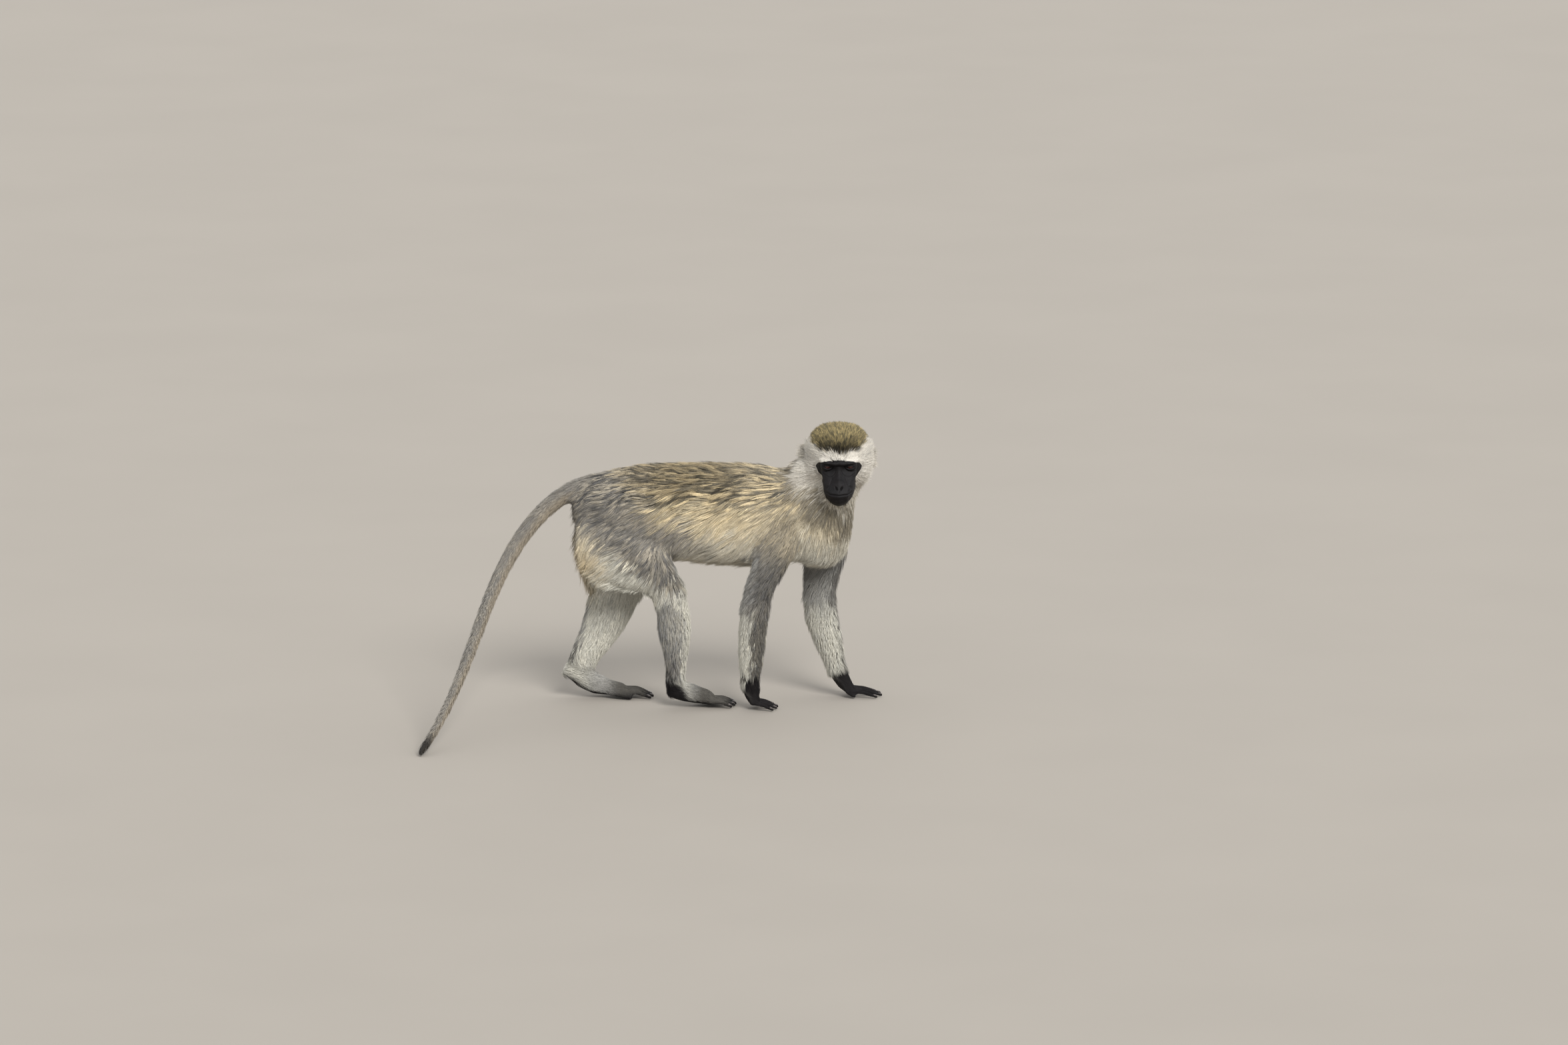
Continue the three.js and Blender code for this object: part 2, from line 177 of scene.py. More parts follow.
class Web:
    """The edges of a mesh, for smoothing numbers held at its points."""

    def __init__(self, me):
        edges = np.empty(len(me.edges) * 2, np.int32)
        me.edges.foreach_get("vertices", edges)
        self.a, self.b = edges.reshape(-1, 2).T
        self.count = len(me.vertices)
        both = np.bincount(self.a, minlength=self.count) + np.bincount(self.b, minlength=self.count)
        self.degree = np.maximum(both, 1)

    def mean(self, values):
        flat = values.reshape(self.count, -1)
        out = np.empty_like(flat)
        for k in range(flat.shape[1]):
            column = flat[:, k]
            out[:, k] = np.bincount(self.a, column[self.b], self.count)
            out[:, k] += np.bincount(self.b, column[self.a], self.count)
        return (out / self.degree[:, None]).reshape(values.shape)

    def smooth(self, values, times, where=None):
        for _ in range(times):
            moved = values + 0.5 * (self.mean(values) - values)
            values = moved if where is None else mix(values, moved, where)
        return values


def linked(name, data):
    """A new object in the scene."""
    ob = bpy.data.objects.new(name, data)
    bpy.context.scene.collection.objects.link(ob)
    return ob


def mesh_object(name, points, faces):
    me = bpy.data.meshes.new(name)
    me.from_pydata((points * MM).tolist(), [], np.asarray(faces).tolist())
    me.update()
    return linked(name, me)


def keep(me, name, values):
    """Keeps a number, a vector or a colour at every point of a mesh."""
    size = 1 if values.ndim == 1 else values.shape[1]
    kinds = {1: ("FLOAT", "value"), 3: ("FLOAT_VECTOR", "vector"), 4: ("FLOAT_COLOR", "color")}
    kind, field = kinds[size]
    layer = me.attributes.new(name, kind, "POINT")
    layer.data.foreach_set(field, values.astype(np.float32).ravel())


def applied(ob):
    """Turns an object's modifiers into its plain mesh."""
    graph = bpy.context.evaluated_depsgraph_get()
    graph.update()
    made = bpy.data.meshes.new_from_object(ob.evaluated_get(graph))
    ob.modifiers.clear()
    old = ob.data
    ob.data = made
    bpy.data.meshes.remove(old)
    return ob


def remeshed(ob, voxel):
    remesh = ob.modifiers.new("even", "REMESH")
    remesh.mode = "VOXEL"
    remesh.voxel_size = voxel * MM
    return applied(ob)


def joined(name, nodes, voxel):
    """Several solids as one closed even mesh."""
    points, faces, _ = stacked(nodes)
    ob = mesh_object(name, points, faces)
    bm = bmesh.new()
    bm.from_mesh(ob.data)
    bmesh.ops.remove_doubles(bm, verts=bm.verts, dist=2e-5)
    bm.to_mesh(ob.data)
    bm.free()
    return remeshed(ob, voxel)


# ---- where things are on the body -------------------------------------------------

SPINE_TOP, SPINE_LOW = 8, 4     # how far inside a limb's top and bottom its centre line ends


def spine(nodes, count=14):
    """Centre line of a limb or the tail, from its top down, cut level by level."""
    pieces = [solid(n) for n in nodes]
    low = min(p[:, 2].min() for p, _ in pieces)
    high = max(p[:, 2].max() for p, _ in pieces)
    line = []
    for z in np.linspace(high - SPINE_TOP, low + SPINE_LOW, count):
        cuts = []
        for p, t in pieces:
            for i, j in ((0, 1), (1, 2), (2, 0)):
                a, b = p[t[:, i]], p[t[:, j]]
                over = (a[:, 2] - z) * (b[:, 2] - z) < 0
                share = ((z - a[over, 2]) / (b[over, 2] - a[over, 2]))[:, None]
                cuts.append(a[over] + share * (b[over] - a[over]))
        cuts = np.vstack(cuts)
        if len(cuts):
            line.append((cuts.min(0) + cuts.max(0)) / 2)
    return np.array(line)


class Line:
    """A centre line: where points lie along it, and which way it runs there."""

    def __init__(self, points):
        self.points = points
        self.runs = np.diff(points, axis=0)
        self.lengths = np.linalg.norm(self.runs, axis=1)
        self.total = self.lengths.sum()

    def at(self, p):
        best = np.full(len(p), 1e9)
        along = np.zeros(len(p))
        centre = np.zeros((len(p), 3))
        start = 0.0
        for a, run, length in zip(self.points, self.runs, self.lengths):
            share = np.clip((p - a) @ run / length**2, 0, 1)
            foot = a + share[:, None] * run
            away = np.linalg.norm(p - foot, axis=1)
            closer = away < best
            best[closer] = away[closer]
            along[closer] = (start + share * length)[closer]
            centre[closer] = foot[closer]
            start += length
        middles = np.cumsum(self.lengths) - self.lengths / 2
        heading = np.stack([np.interp(along, middles, unit(self.runs)[:, k]) for k in range(3)], 1)
        return along / self.total, centre, unit(heading)


ARM = {s: Line(spine([f"upper_arm_{s}", f"forearm_{s}", f"hand_{s}"])) for s in SIDES}
THIGH = {s: Line(spine([f"thigh_{s}"], 8)) for s in SIDES}
SHANK = {s: Line(spine([f"shank_{s}"], 8)) for s in SIDES}
TAIL_LINE = Line(spine(TAIL, 20))

HEAD_PITCH = math.radians(13)
HEAD_F = np.array([0, -math.cos(HEAD_PITCH), -math.sin(HEAD_PITCH)])
HEAD_U = np.array([0, -math.sin(HEAD_PITCH), math.cos(HEAD_PITCH)])
EYE_CENTRE = {s: sum(box(f"eye_{s}")) / 2 for s in SIDES}
EYE_RADIUS = float((box("eye_r")[1] - box("eye_r")[0])[0] / 2)
EYE_DEPTH = 33.8        # from the middle of the head forward to the eyes
EYE_ACROSS = 15.5       # from the middle of the face to each eye
HEAD_CENTRE = (EYE_CENTRE["r"] + EYE_CENTRE["l"]) / 2 - EYE_DEPTH * HEAD_F
TRUNK_LOW, TRUNK_TOP = box("belly")[0][2], box("belly")[1][2]
TRUNK_REAR, TRUNK_FRONT = box("rump")[0][0], box("chest")[1][0]
MIDLINE = float(sum(box("belly"))[1] / 2)


def on_head(p):
    """Across, forward and up from the middle of the head."""
    q = p - HEAD_CENTRE
    return q @ X, q @ HEAD_F, q @ HEAD_U


# Half width of the bare face at heights from the chin to the brow.
FACE_HEIGHTS = [-55, -53, -48, -40, -32, -27, -22, -16, -8, -3, 1, 4, 7, 10, 12]
FACE_WIDTHS = [0, 9, 15, 20.5, 22, 24, 22, 26.5, 31.5, 33.5, 33, 31, 28, 22, 0]


def bare_face(p):
    """1 on the bare black face, 0 on the furred head."""
    s, f, u = on_head(p)
    half = np.interp(u, FACE_HEIGHTS, FACE_WIDTHS)
    side = f - np.interp(u, [-55, -45, -30, -18, -8, 2], [36, 33, 29, 29, 34, 46])
    edge = np.maximum(half - np.abs(s), 0.8 * side) + 0.5 * Ripple(5, 12)(p)
    brow_line = u + 0.0045 * s**2 + 0.075 * np.maximum(np.abs(s) - 19, 0)**2
    low, high = step(-57, -53, u), step(11.6, 9.4, brow_line)
    return step(-0.8, 1.2, edge) * step(18, 26, f) * low * high


class Body:
    """The finished skin and everything known at its points."""


body = Body()

# Depth of the coat, length of its hair, angle it stands off at, how freely it
# leaves the body and how wide a tuft is, for each part (mm, degrees, share, mm).
COAT_TABLE = {
    "head": (12, 20, 40, 0.45, 0.55),
    "face": (0.8, 7, 25, 0.2, 0.4),
    "ear": (0.5, 8, 35, 0.5, 0.4),
    "neck": (12, 30, 26, 0.35, 0.62),
    "chest": (10, 32, 24, 0.3, 0.66),
    "belly": (9.5, 32, 22, 0.25, 0.66),
    "rump": (8.5, 26, 24, 0.25, 0.62),
    "upper_arm": (7.5, 22, 24, 0.3, 0.6),
    "forearm": (4.6, 15, 20, 0.2, 0.5),
    "hand": (0.6, 8, 16, 0.1, 0.42),
    "thigh": (9, 25, 24, 0.3, 0.62),
    "shank": (5.2, 17, 20, 0.25, 0.55),
    "foot": (0.7, 9, 15, 0.1, 0.42),
    "tail": (2.8, 14, 22, 0.3, 0.5),
}


def kind_of(node):
    return node[:-2] if node[-2:] in ("_r", "_l") else node.split("_")[0]


def coat_number(weights, column):
    return sum(weights[:, i] * COAT_TABLE[kind_of(n)][column] for i, n in enumerate(FLESH))


def coat_depth(p, weights):
    """How far the skin lies under the tips of the coat."""
    depth = coat_number(weights, 0)
    s, f, u = on_head(p)
    cap = step(20, 34, u)
    cheek = step(24, 42, np.abs(s)) * step(18, 6, u)
    brow = step(20, 30, f) * bell(u - 18, 9)
    jaw = step(-24, -40, u)
    head = 9 + 10 * cheek - cap + 5 * jaw * (1 - cheek)
    head = mix(head, 5.0, np.clip(brow, 0, 1))
    for name in SIDES:
        foot = f"foot_{name}"
        ankle = step(0.45, 0.2, along_box(p, foot)) * step(8, 24, p[:, 2])
        depth = depth + 3.0 * ankle * part(weights, foot)
    return mix(depth, head, np.clip(part(weights, "head"), 0, 1))


# ---- skin ------------------------------------------------------------------------------

def node_weights(points, web, times):
    """How much each point of the skin belongs to each solid, softly blended."""
    corners, faces, owner = stacked(FLESH + EYES)
    owner = [FLESH.index("face" if node in EYES else node) for node in owner]
    tree = BVHTree.FromPolygons(corners.tolist(), faces.tolist())
    weights = np.zeros((len(points), len(FLESH)))
    for k, p in enumerate(points.tolist()):
        weights[k, owner[tree.find_nearest(p)[2]]] = 1
    return web.smooth(weights, times)


THICKEST = 90.0         # the body's thickness is measured up to this
SINK_SHARE = 0.36       # the skin sinks by no more than this share of it


def thickness(points, tri, normal):
    """How much body lies behind each point."""
    tree = BVHTree.FromPolygons(points.tolist(), tri.tolist())
    out = np.full(len(points), THICKEST)
    for i, (p, n) in enumerate(zip((points - 0.4 * normal).tolist(), (-normal).tolist())):
        away = tree.ray_cast(p, n, THICKEST)[3]
        if away is not None:
            out[i] = away
    return out


def sunk(ob, depth_of, web, rounds=6):
    """Moves a surface inwards by the coat's depth, evening it out on the way."""
    points, tri = points_of(ob.data), triangles_of(ob.data)
    thick = thickness(points, tri, unit(web.smooth(normals_of(points, tri), 3)))
    depth = web.smooth(np.minimum(depth_of, SINK_SHARE * thick), 16)
    for _ in range(rounds):
        normal = unit(web.smooth(normals_of(points, tri), 2))
        points = points - normal * (depth / rounds)[:, None]
        points = web.smooth(points, 2, where=step(1.5, 4, depth))
    put_points(ob.data, points)


def refine(ob, inside):
    """Splits the faces whose middle satisfies inside(points)."""
    bm = bmesh.new()
    bm.from_mesh(ob.data)
    middles = np.array([f.calc_center_median()[:] for f in bm.faces]) / MM
    chosen = inside(middles)
    edges = {e for f, c in zip(bm.faces, chosen) if c for e in f.edges}
    bmesh.ops.subdivide_edges(bm, edges=list(edges), cuts=1, use_grid_fill=True)
    bmesh.ops.triangulate(bm, faces=[f for f in bm.faces if len(f.verts) > 4])
    bm.to_mesh(ob.data)
    bm.free()
    ob.data.update()


LID_RADIUS = EYE_RADIUS + 1.15
LID_HALF = 6.3          # half the length of the eye's opening
LID_UP, LID_DOWN = 2.0, 2.0     # how far the opening reaches above and below the eye's middle


def lid_gap(side, across, up):
    """Distance inside (+) or outside (-) of the opening between the lids."""
    up = up - 0.06 * side * across
    top = LID_UP * (1 - np.abs(across / LID_HALF) ** 2.2)
    low = -LID_DOWN * (1 - np.abs(across / LID_HALF) ** 2.0)
    return np.minimum(top - up, up - low), top, low


def face_relief(s, u):
    """How far the bare face stands out from, or lies in, its plain shape."""
    a = np.abs(s)
    # Brow bar with a dip in the middle.
    push = 3.0 * bell(u - 6.3, 2.6) * step(31, 20, a) * (1 - 0.35 * bell(s, 3.5))
    # Sockets round the lids.
    push -= 2.2 * bell(a - EYE_ACROSS, 9) * bell(u + 0.5, 6.0)
    # Bridge and back of the nose.
    push += 2.3 * bell(s, 4.6) * step(-21, -15, u) * step(7, -1, u)
    push -= 1.3 * bell(a - 12.5, 4) * bell(u + 15, 6)
    # Tip of the nose, its wings and the nostrils.
    push += 1.5 * bell(s, 4.5) * bell(u + 18.5, 3.2)
    push += 1.3 * bell(a - 5.6, 2.6) * bell(u + 19.5, 2.8)
    slant = (a - 3.9) * 0.78 + (u + 21.4) * 0.62
    cross = -(a - 3.9) * 0.62 + (u + 21.4) * 0.78
    push -= 2.6 * bell(slant, 2.1) * bell(cross, 0.95)
    push -= 0.5 * bell(s, 0.9) * bell(u + 24.5, 2.2)
    # Mouth line with its lips.
    mouth = -29.0 - 1.5 * (a / 22) ** 2
    reach = step(23, 16, a)
    push -= 0.9 * bell(u - mouth, 0.7) * reach
    push += 0.3 * bell(u - mouth - 2.1, 1.5) * reach
    push += 0.3 * bell(u - mouth + 2.5, 1.8) * reach
    push -= 0.8 * bell(u - mouth + 6.5, 2.0) * step(18, 12, a)
    push += 0.8 * bell(s, 9) * bell(u + 43, 5)
    # Folds from the nose down past the mouth, and under the eyes.
    fold = a - (9.5 + 0.62 * np.maximum(-13 - u, 0))
    push -= 0.7 * bell(fold, 0.9) * step(-10, -14, u) * step(-27, -22, u)
    for radius, size in ((12.2, 0.45), (14.8, 0.35), (17.2, 0.25)):
        ring = np.hypot(a - EYE_ACROSS, (u + 0.5) * 1.15)
        push -= size * bell(ring - radius, 0.65) * step(-1.5, -5, u) * step(-15, -10, u)
    for row in range(3):
        push -= 0.3 * bell(u - 13.0 - 2.2 * row - 0.006 * s**2, 0.55) * step(22, 14, a)
    return push


def with_lids(points, name, side):
    """Draws the skin round one eye over the eyeball, with a crease above and a bag below."""
    v = points - EYE_CENTRE[name]
    r = np.linalg.norm(v, axis=1)
    across, up, ahead = v @ X, v @ HEAD_U, v @ HEAD_F
    off = np.hypot(across, up * np.where(up > 0, 1.9, 1.35))
    near = step(13.0, 8.4, off) * (ahead > -2) * (r < 22)
    scale = LID_RADIUS / np.maximum(r, 1e-6)
    gap, top, low = lid_gap(side, across * scale, up * scale)
    shell = LID_RADIUS + 0.2 * bell(gap + 0.35, 0.7)
    crease = bell(up * scale - top - 1.4, 0.45) * step(7.5, 5, np.abs(across))
    bag = bell(low - up * scale - 2.0, 0.6) * step(7.5, 5, np.abs(across))
    shell = shell - 0.45 * crease - 0.15 * bag
    shell = mix(shell, EYE_RADIUS - 1.6, step(-0.1, 0.45, gap))
    return points + (v / r[:, None]) * (near * (shell - r))[:, None]


def sculpt_face(points, normal):
    """Sockets, nose, lips, chin and folds, then lids round each eye."""
    s, f, u = on_head(points)
    points = points + normal * (face_relief(s, u) * step(20, 34, f))[:, None]
    for name, side in SIDES.items():
        points = with_lids(points, name, side)
    return points


def flow_field(p, n, weights, web):
    """Which way the hair lies at every point of the skin."""
    def w(*names):
        return part(weights, *names)[:, None]

    height = np.clip((p[:, 2] - TRUNK_LOW) / (TRUNK_TOP - TRUNK_LOW), 0, 1)
    slope = np.radians(np.interp(height, [0, 0.15, 0.35, 0.6, 0.85, 1], [68, 58, 42, 27, 12, 3]))
    ahead = step(TRUNK_FRONT - 105, TRUNK_FRONT - 40, p[:, 0])
    slope = slope + np.radians(28) * ahead * step(1.0, 0.75, height)
    trunk = np.stack([-np.cos(slope), 0 * slope, -np.sin(slope)], 1)
    under = step(-0.35, -0.8, n[:, 2])
    trunk = mix(trunk, np.array([-0.95, 0.0, -0.3]), under)
    breast = step(0.15, 0.7, n[:, 0]) * ahead
    trunk = mix(trunk, np.array([-0.15, 0.0, -1.0]), breast)
    away = unit(p - (HEAD_CENTRE + 46 * HEAD_F - 6 * HEAD_U))
    down_back = np.array([-0.42, 0.0, -0.7])
    behind = step(5, -30, (p - HEAD_CENTRE) @ HEAD_F)[:, None]
    away = unit(away - 1.3 * behind * HEAD_U)
    flow = unit(trunk) * w("rump", "belly", "chest")
    flow += unit(0.55 * away + down_back) * w("neck")
    flow += away * w("head", "face", *EARS)
    for s in SIDES:
        _, _, heading = ARM[s].at(p)
        flow += unit(heading + np.array([-0.4, 0, 0])) * w(f"upper_arm_{s}")
        flow += unit(heading + np.array([-0.1, 0, 0])) * w(f"forearm_{s}")
        flow += unit(heading + np.array([0.7, 0, 0])) * w(f"hand_{s}")
        along, _, heading = THIGH[s].at(p)
        back = mix(np.array([-0.82, 0.0, -0.57]), np.array([-0.2, 0.0, -1.0]), step(0.45, 1, along))
        back = mix(back, heading, step(0.2, 0.8, n[:, 0]))
        flow += unit(back) * w(f"thigh_{s}")
        _, _, heading = SHANK[s].at(p)
        flow += heading * w(f"shank_{s}")
        flow += unit(np.array([1.0, 0, -0.35])) * w(f"foot_{s}")
    _, _, heading = TAIL_LINE.at(p)
    flow += heading * w(*TAIL)
    for _ in range(3):
        flow = unit(flow - n * (flow * n).sum(1)[:, None] + 1e-6)
        flow = web.smooth(flow, 14)
    return unit(flow - n * (flow * n).sum(1)[:, None])


WRIST = {"r": 52, "l": 40}      # height up to which the arm is black, all but its rear
HEEL = {"r": 42, "l": 27}       # how far up the heel the black of the sole reaches
HEEL_TONE = {"r": 0.9, "l": 0.4}                # how black the shank is just above it
TOES = {"r": (0.2, 0.5), "l": (0.36, 0.62)}     # share of the foot over which it darkens


def trunk_marks(p, n, c, drift):
    """Olive back, straw flank, cream and then white below, grey rump."""
    height = (p[:, 2] - TRUNK_LOW) / (TRUNK_TOP - TRUNK_LOW) + 0.035 * drift
    along = (p[:, 0] - TRUNK_REAR) / (TRUNK_FRONT - TRUNK_REAR)
    back = mix(c["back"], c["nape"], step(0.5, 0.85, along))
    back = mix(mix(c["grey"], c["nape"], 0.45), back, step(0.08, 0.4, along))
    straw = mix(c["straw"], c["cream"], step(0.62, 0.85, along))
    flank = mix(straw, back, step(0.54, 0.78, height))
    flank = mix(c["cream"], flank, step(0.38, 0.56, height))
    flank = mix(c["belly"], flank, step(0.30, 0.48, height))
    haunch = np.interp(height, [0.3, 0.45, 0.62, 1.0], [0.53, 0.42, 0.30, 0.17])
    grey = step(0.06, -0.06, along - haunch) * step(0.1, 0.35, height)
    hip = mix(c["grey"], back, step(0.85, 1.0, height))
    trunk = mix(flank, hip, grey)
    shoulder = step(0.62, 0.82, along) * step(0.25, 0.5, height)
    trunk = mix(trunk, mix(c["grey"], c["straw"], 0.75), 0.6 * shoulder)
    trunk = mix(trunk, c["chest"], step(0.1, 0.6, n[:, 0]) * step(0.7, 0.9, along))
    breast = step(0.5, 0.25, height) * step(0.7, 0.85, along)
    trunk = mix(trunk, mix(c["belly"], c["pale"], 0.5) * 0.85, breast)
    # The upper front of the trunk, where it meets the neck, is 30% darker.
    front_top_darkening = step(0.70, 0.80, along) * step(0.42, 0.6, height)
    grizzle = 0.3 + 0.25 * grey + 0.7 * (1 - 0.4 * grey) * step(0.46, 0.74, height)
    yield ["rump", "belly", "chest"], trunk * (1 - 0.3 * front_top_darkening)[:, None], grizzle


def head_marks(p, n, c, drift):
    """Pale nape, cream throat darkened with painted shade, olive cap, dark at its front, white brow and
    ruff.
    """
    # The neck's tones are darkened; on the throat, under the head, this darkening is painted shade.
    yield ["neck"], mix(c["chest"] * 0.62, c["nape"] * 0.60, step(-0.35, 0.35, n[:, 2])), 0.6
    s, f, u = on_head(p)
    wave = 2.2 * Ripple(12, 14)(p)
    edge = 13.0 + 0.005 * s**2 + 0.4 * wave
    reach = np.interp(u, [13, 20, 34, 44], [31, 36, 34, 25]) + 8 * step(0, -25, f)
    cap = step(-1, 2, u - edge) * step(3, -3, np.abs(s) - reach + 0.5 * wave)
    dark = step(0, 16, f) * step(34, 15, np.abs(s) + wave) * bell(u - 16, 9.5)
    crown = mix(c["cap"], c["cap"] * 0.66, step(34, 18, u) * step(-5, 15, f))
    crown = mix(crown, c["cap_dark"], 0.95 * np.clip(dark, 0, 1))
    ruff = mix(c["ruff"], c["belly"], 0.5 * step(-25, -50, u))
    speckle = bell(np.abs(s) - 42, 9) * bell(u - 9, 15) * step(30, 18, f)
    ruff = mix(ruff, c["grey"], 0.55 * speckle)
    ruff = mix(ruff, c["nape"] * 0.8, 0.8 * step(2, -24, f) * step(-35, -5, u))
    head = mix(ruff, mix(crown, c["back"], 0.4 * step(-5, -35, f)), cap)
    yield ["head", "face", *EARS], head, np.clip(cap + 0.8 * speckle + 0.1, 0, 1)


def arm_marks(p, n, c, drift):
    """Grey outside, white inside and along the rear edge, black hands with a pale streak; the upper
    arm's inside is grey, darkened as painted shade under the chest.
    """
    rear = step(0.1, 0.7, -n[:, 0]) * step(10, 26, p[:, 2])
    for name, side in SIDES.items():
        outer = n @ np.array([0.83, 0.56 * side, 0.0]) + 0.08 * drift
        t, _, _ = ARM[name].at(p)
        grey = step(0.12, 0.55, outer)
        # Inside the upper arm: darkened light grey in place of white, as painted shade under the chest.
        upper = mix(c["limb_light"] * 0.8, c["limb"] * 0.66, grey)
        upper = mix(upper, mix(c["grey"], c["straw"], 0.7), 0.7 * step(0.3, 0.03, t) * grey)
        grey = step(0.38, 0.74, outer)
        inside = mix(c["limb_light"], c["pale"] * 0.95, step(0.35, 0.6, t))
        arm = mix(inside, mix(c["limb"] * 0.85, c["limb_dark"], step(0.4, 0.6, t)), grey)
        wrist = step(-2, 2, WRIST[name] - p[:, 2]) * step(0.9, 0.4, -n[:, 0])
        yield [f"upper_arm_{name}"], upper, 0.35 + 0.55 * grey
        yield [f"forearm_{name}"], mix(arm, c["black"], wrist), 0.35 + 0.55 * grey
        yield [f"hand_{name}"], mix(c["black"], c["limb"], 0.3 * rear), 0.3


def thigh_marks(p, n, c, drift):
    """A dark band from hip to knee, cream behind it, ochre at the rear."""
    for name, side in SIDES.items():
        along, up = along_box(p, f"thigh_{name}"), along_box(p, f"thigh_{name}", 2)
        over = up - 0.76 + 0.74 * along + 0.05 * drift
        band = step(-0.06, 0.08, over) * step(-0.25, 0.3, n[:, 1] * side)
        thigh = mix(c["cream"], c["pale"], step(0.15, 0.45, along))
        thigh = mix(thigh, c["ochre"], 0.8 * bell(along - 0.1, 0.16) * bell(up - 0.42, 0.2))
        knee = bell(over - 0.12, 0.18) * bell(along - 0.62, 0.28)
        thigh = mix(thigh, mix(c["grey"], c["limb_dark"], 0.35 * knee), band)
        yield [f"thigh_{name}"], thigh, 0.12 + 0.7 * band


def shank_marks(p, n, c, drift):
    """Grey outside, pale inside, dark behind above the heel; feet pale above, black below."""
    for name, side in SIDES.items():
        t, _, _ = SHANK[name].at(p)
        grey = step(-0.1, 0.4, n @ np.array([-0.8, 0.6 * side, 0.0]) + 0.1 * drift)
        shank = mix(c["pale"], mix(c["limb_light"], c["limb"], step(0.45, 0.95, t)), grey)
        shank = mix(shank, c["limb_dark"] * 0.6, step(0.72, 1.0, t) * step(0.2, 0.8, -n[:, 0]))
        heel = HEEL_TONE[name] * step(0.82, 0.96, t) * step(0.1, 0.6, -n[:, 0])
        yield [f"shank_{name}"], mix(shank, c["black"], heel), 0.35 + 0.6 * grey
        along = along_box(p, f"foot_{name}")
        upper = step(-4, 5, p[:, 2] - (8 + HEEL[name] * step(0.38, 0.0, along)))
        ankle = mix(c["pale"] * 0.9, c["limb_light"], step(0.1, 0.4, along))
        foot = mix(ankle, c["limb_dark"] * 0.6, step(*TOES[name], along))
        yield [f"foot_{name}"], mix(c["black"], foot, upper), 0.3


def tail_marks(p, n, c, drift):
    """Darker above, paler below, black tip."""
    t, _, _ = TAIL_LINE.at(p)
    above = step(-0.35, 0.45, n @ unit(np.array([-0.75, -0.1, 0.75])))
    tail = mix(c["tail_under"], c["grey"], above)
    yield TAIL, mix(tail, c["black"], 0.9 * step(0.90, 0.965, t)), 0.4 + 0.3 * above


def markings(p, n, weights):
    """Colour of the coat at every point of the skin, and its grizzle (0 plain, 1 strong)."""
    c = {k: linear(getattr(bpy.context.scene.monkey_coat, k)) for k in COLOURS}
    drift = Ripple(11, 60)(p)
    colour, grizzle = np.zeros_like(p), np.zeros(len(p))
    for marks in (trunk_marks, head_marks, arm_marks, thigh_marks, shank_marks, tail_marks):
        for nodes, shade, grizzled in marks(p, n, c, drift):
            share = part(weights, *nodes)
            colour += shade * share[:, None]
            grizzle += grizzled * share
    colour /= np.maximum(weights.sum(1), 1e-6)[:, None]
    return colour, np.clip(grizzle, 0, 1)


def bare_skin(p, n, weights):
    """1 where the skin is bare and black: face, palms, digits, soles, heels, fronts of the ears."""
    w = partial(part, weights)
    palm = w("hand_r", "hand_l") * step(0.1, -0.25, n[:, 2])
    digits = sum(
        step(-22, -12, p[:, 0] - box(f"{limb}_{name}")[1][0]) * w(f"{limb}_{name}")
        for limb in ("hand", "foot") for name in SIDES)
    sole = w("foot_r", "foot_l") * step(-0.2, -0.6, n[:, 2])
    heel = sum(
        w(f"foot_{name}") * step(12, 4, p[:, 0] - box(f"foot_{name}")[0][0]) * step(16, 8, p[:, 2])
        for name in SIDES)
    ear = step(0.35, 0.6, w(*EARS)) * step(-0.1, 0.4, n @ HEAD_F)
    return np.clip(np.maximum.reduce([bare_face(p), palm, digits, sole, heel, ear]), 0, 1)


COLOURS = {
    "back": ("Olive of the back", (0.455, 0.415, 0.34)),
    "straw": ("Straw of the flank", (0.775, 0.715, 0.595)),
    "cream": ("Cream of the lower flank", (0.765, 0.72, 0.63)),
    "belly": ("White of the belly", (0.755, 0.725, 0.66)),
    "chest": ("Cream of chest and throat", (0.575, 0.54, 0.475)),
    "nape": ("Pale straw of the nape", (0.585, 0.545, 0.475)),
    "grey": ("Grey of rump and tail", (0.50, 0.48, 0.45)),
    "limb": ("Grey of the limbs", (0.475, 0.46, 0.44)),
    "limb_light": ("Light grey of the shanks", (0.57, 0.56, 0.54)),
    "limb_dark": ("Dark grey of forearm and thigh", (0.385, 0.37, 0.345)),
    "pale": ("White of the inner limbs", (0.75, 0.735, 0.69)),
    "ochre": ("Ochre behind the thigh", (0.60, 0.53, 0.41)),
    "tail_under": ("Under side of the tail", (0.56, 0.52, 0.46)),
    "cap": ("Olive of the cap", (0.475, 0.43, 0.315)),
    "cap_dark": ("Dark front of the cap", (0.13, 0.115, 0.09)),
    "ruff": ("White of brow and ruff", (0.775, 0.75, 0.71)),
    "black": ("Black of hands, feet and tail tip", (0.105, 0.095, 0.095)),
}


# ---- nodes ------------------------------------------------------------------------------

def add_node(tree, kind, settings=None, values=None):
    """A new node with its settings, its inputs set or linked."""
    node = tree.nodes.new(kind)
    for key, value in (settings or {}).items():
        setattr(node, key, value)
    for key, value in (values or {}).items():
        feed(tree, node.inputs[key], value)
    return node


def feed(tree, socket, value):
    """Sets a socket, or links it to another one."""
    value = value.socket if isinstance(value, Term) else value
    if isinstance(value, bpy.types.NodeSocket):
        tree.links.new(value, socket)
    else:
        socket.default_value = value


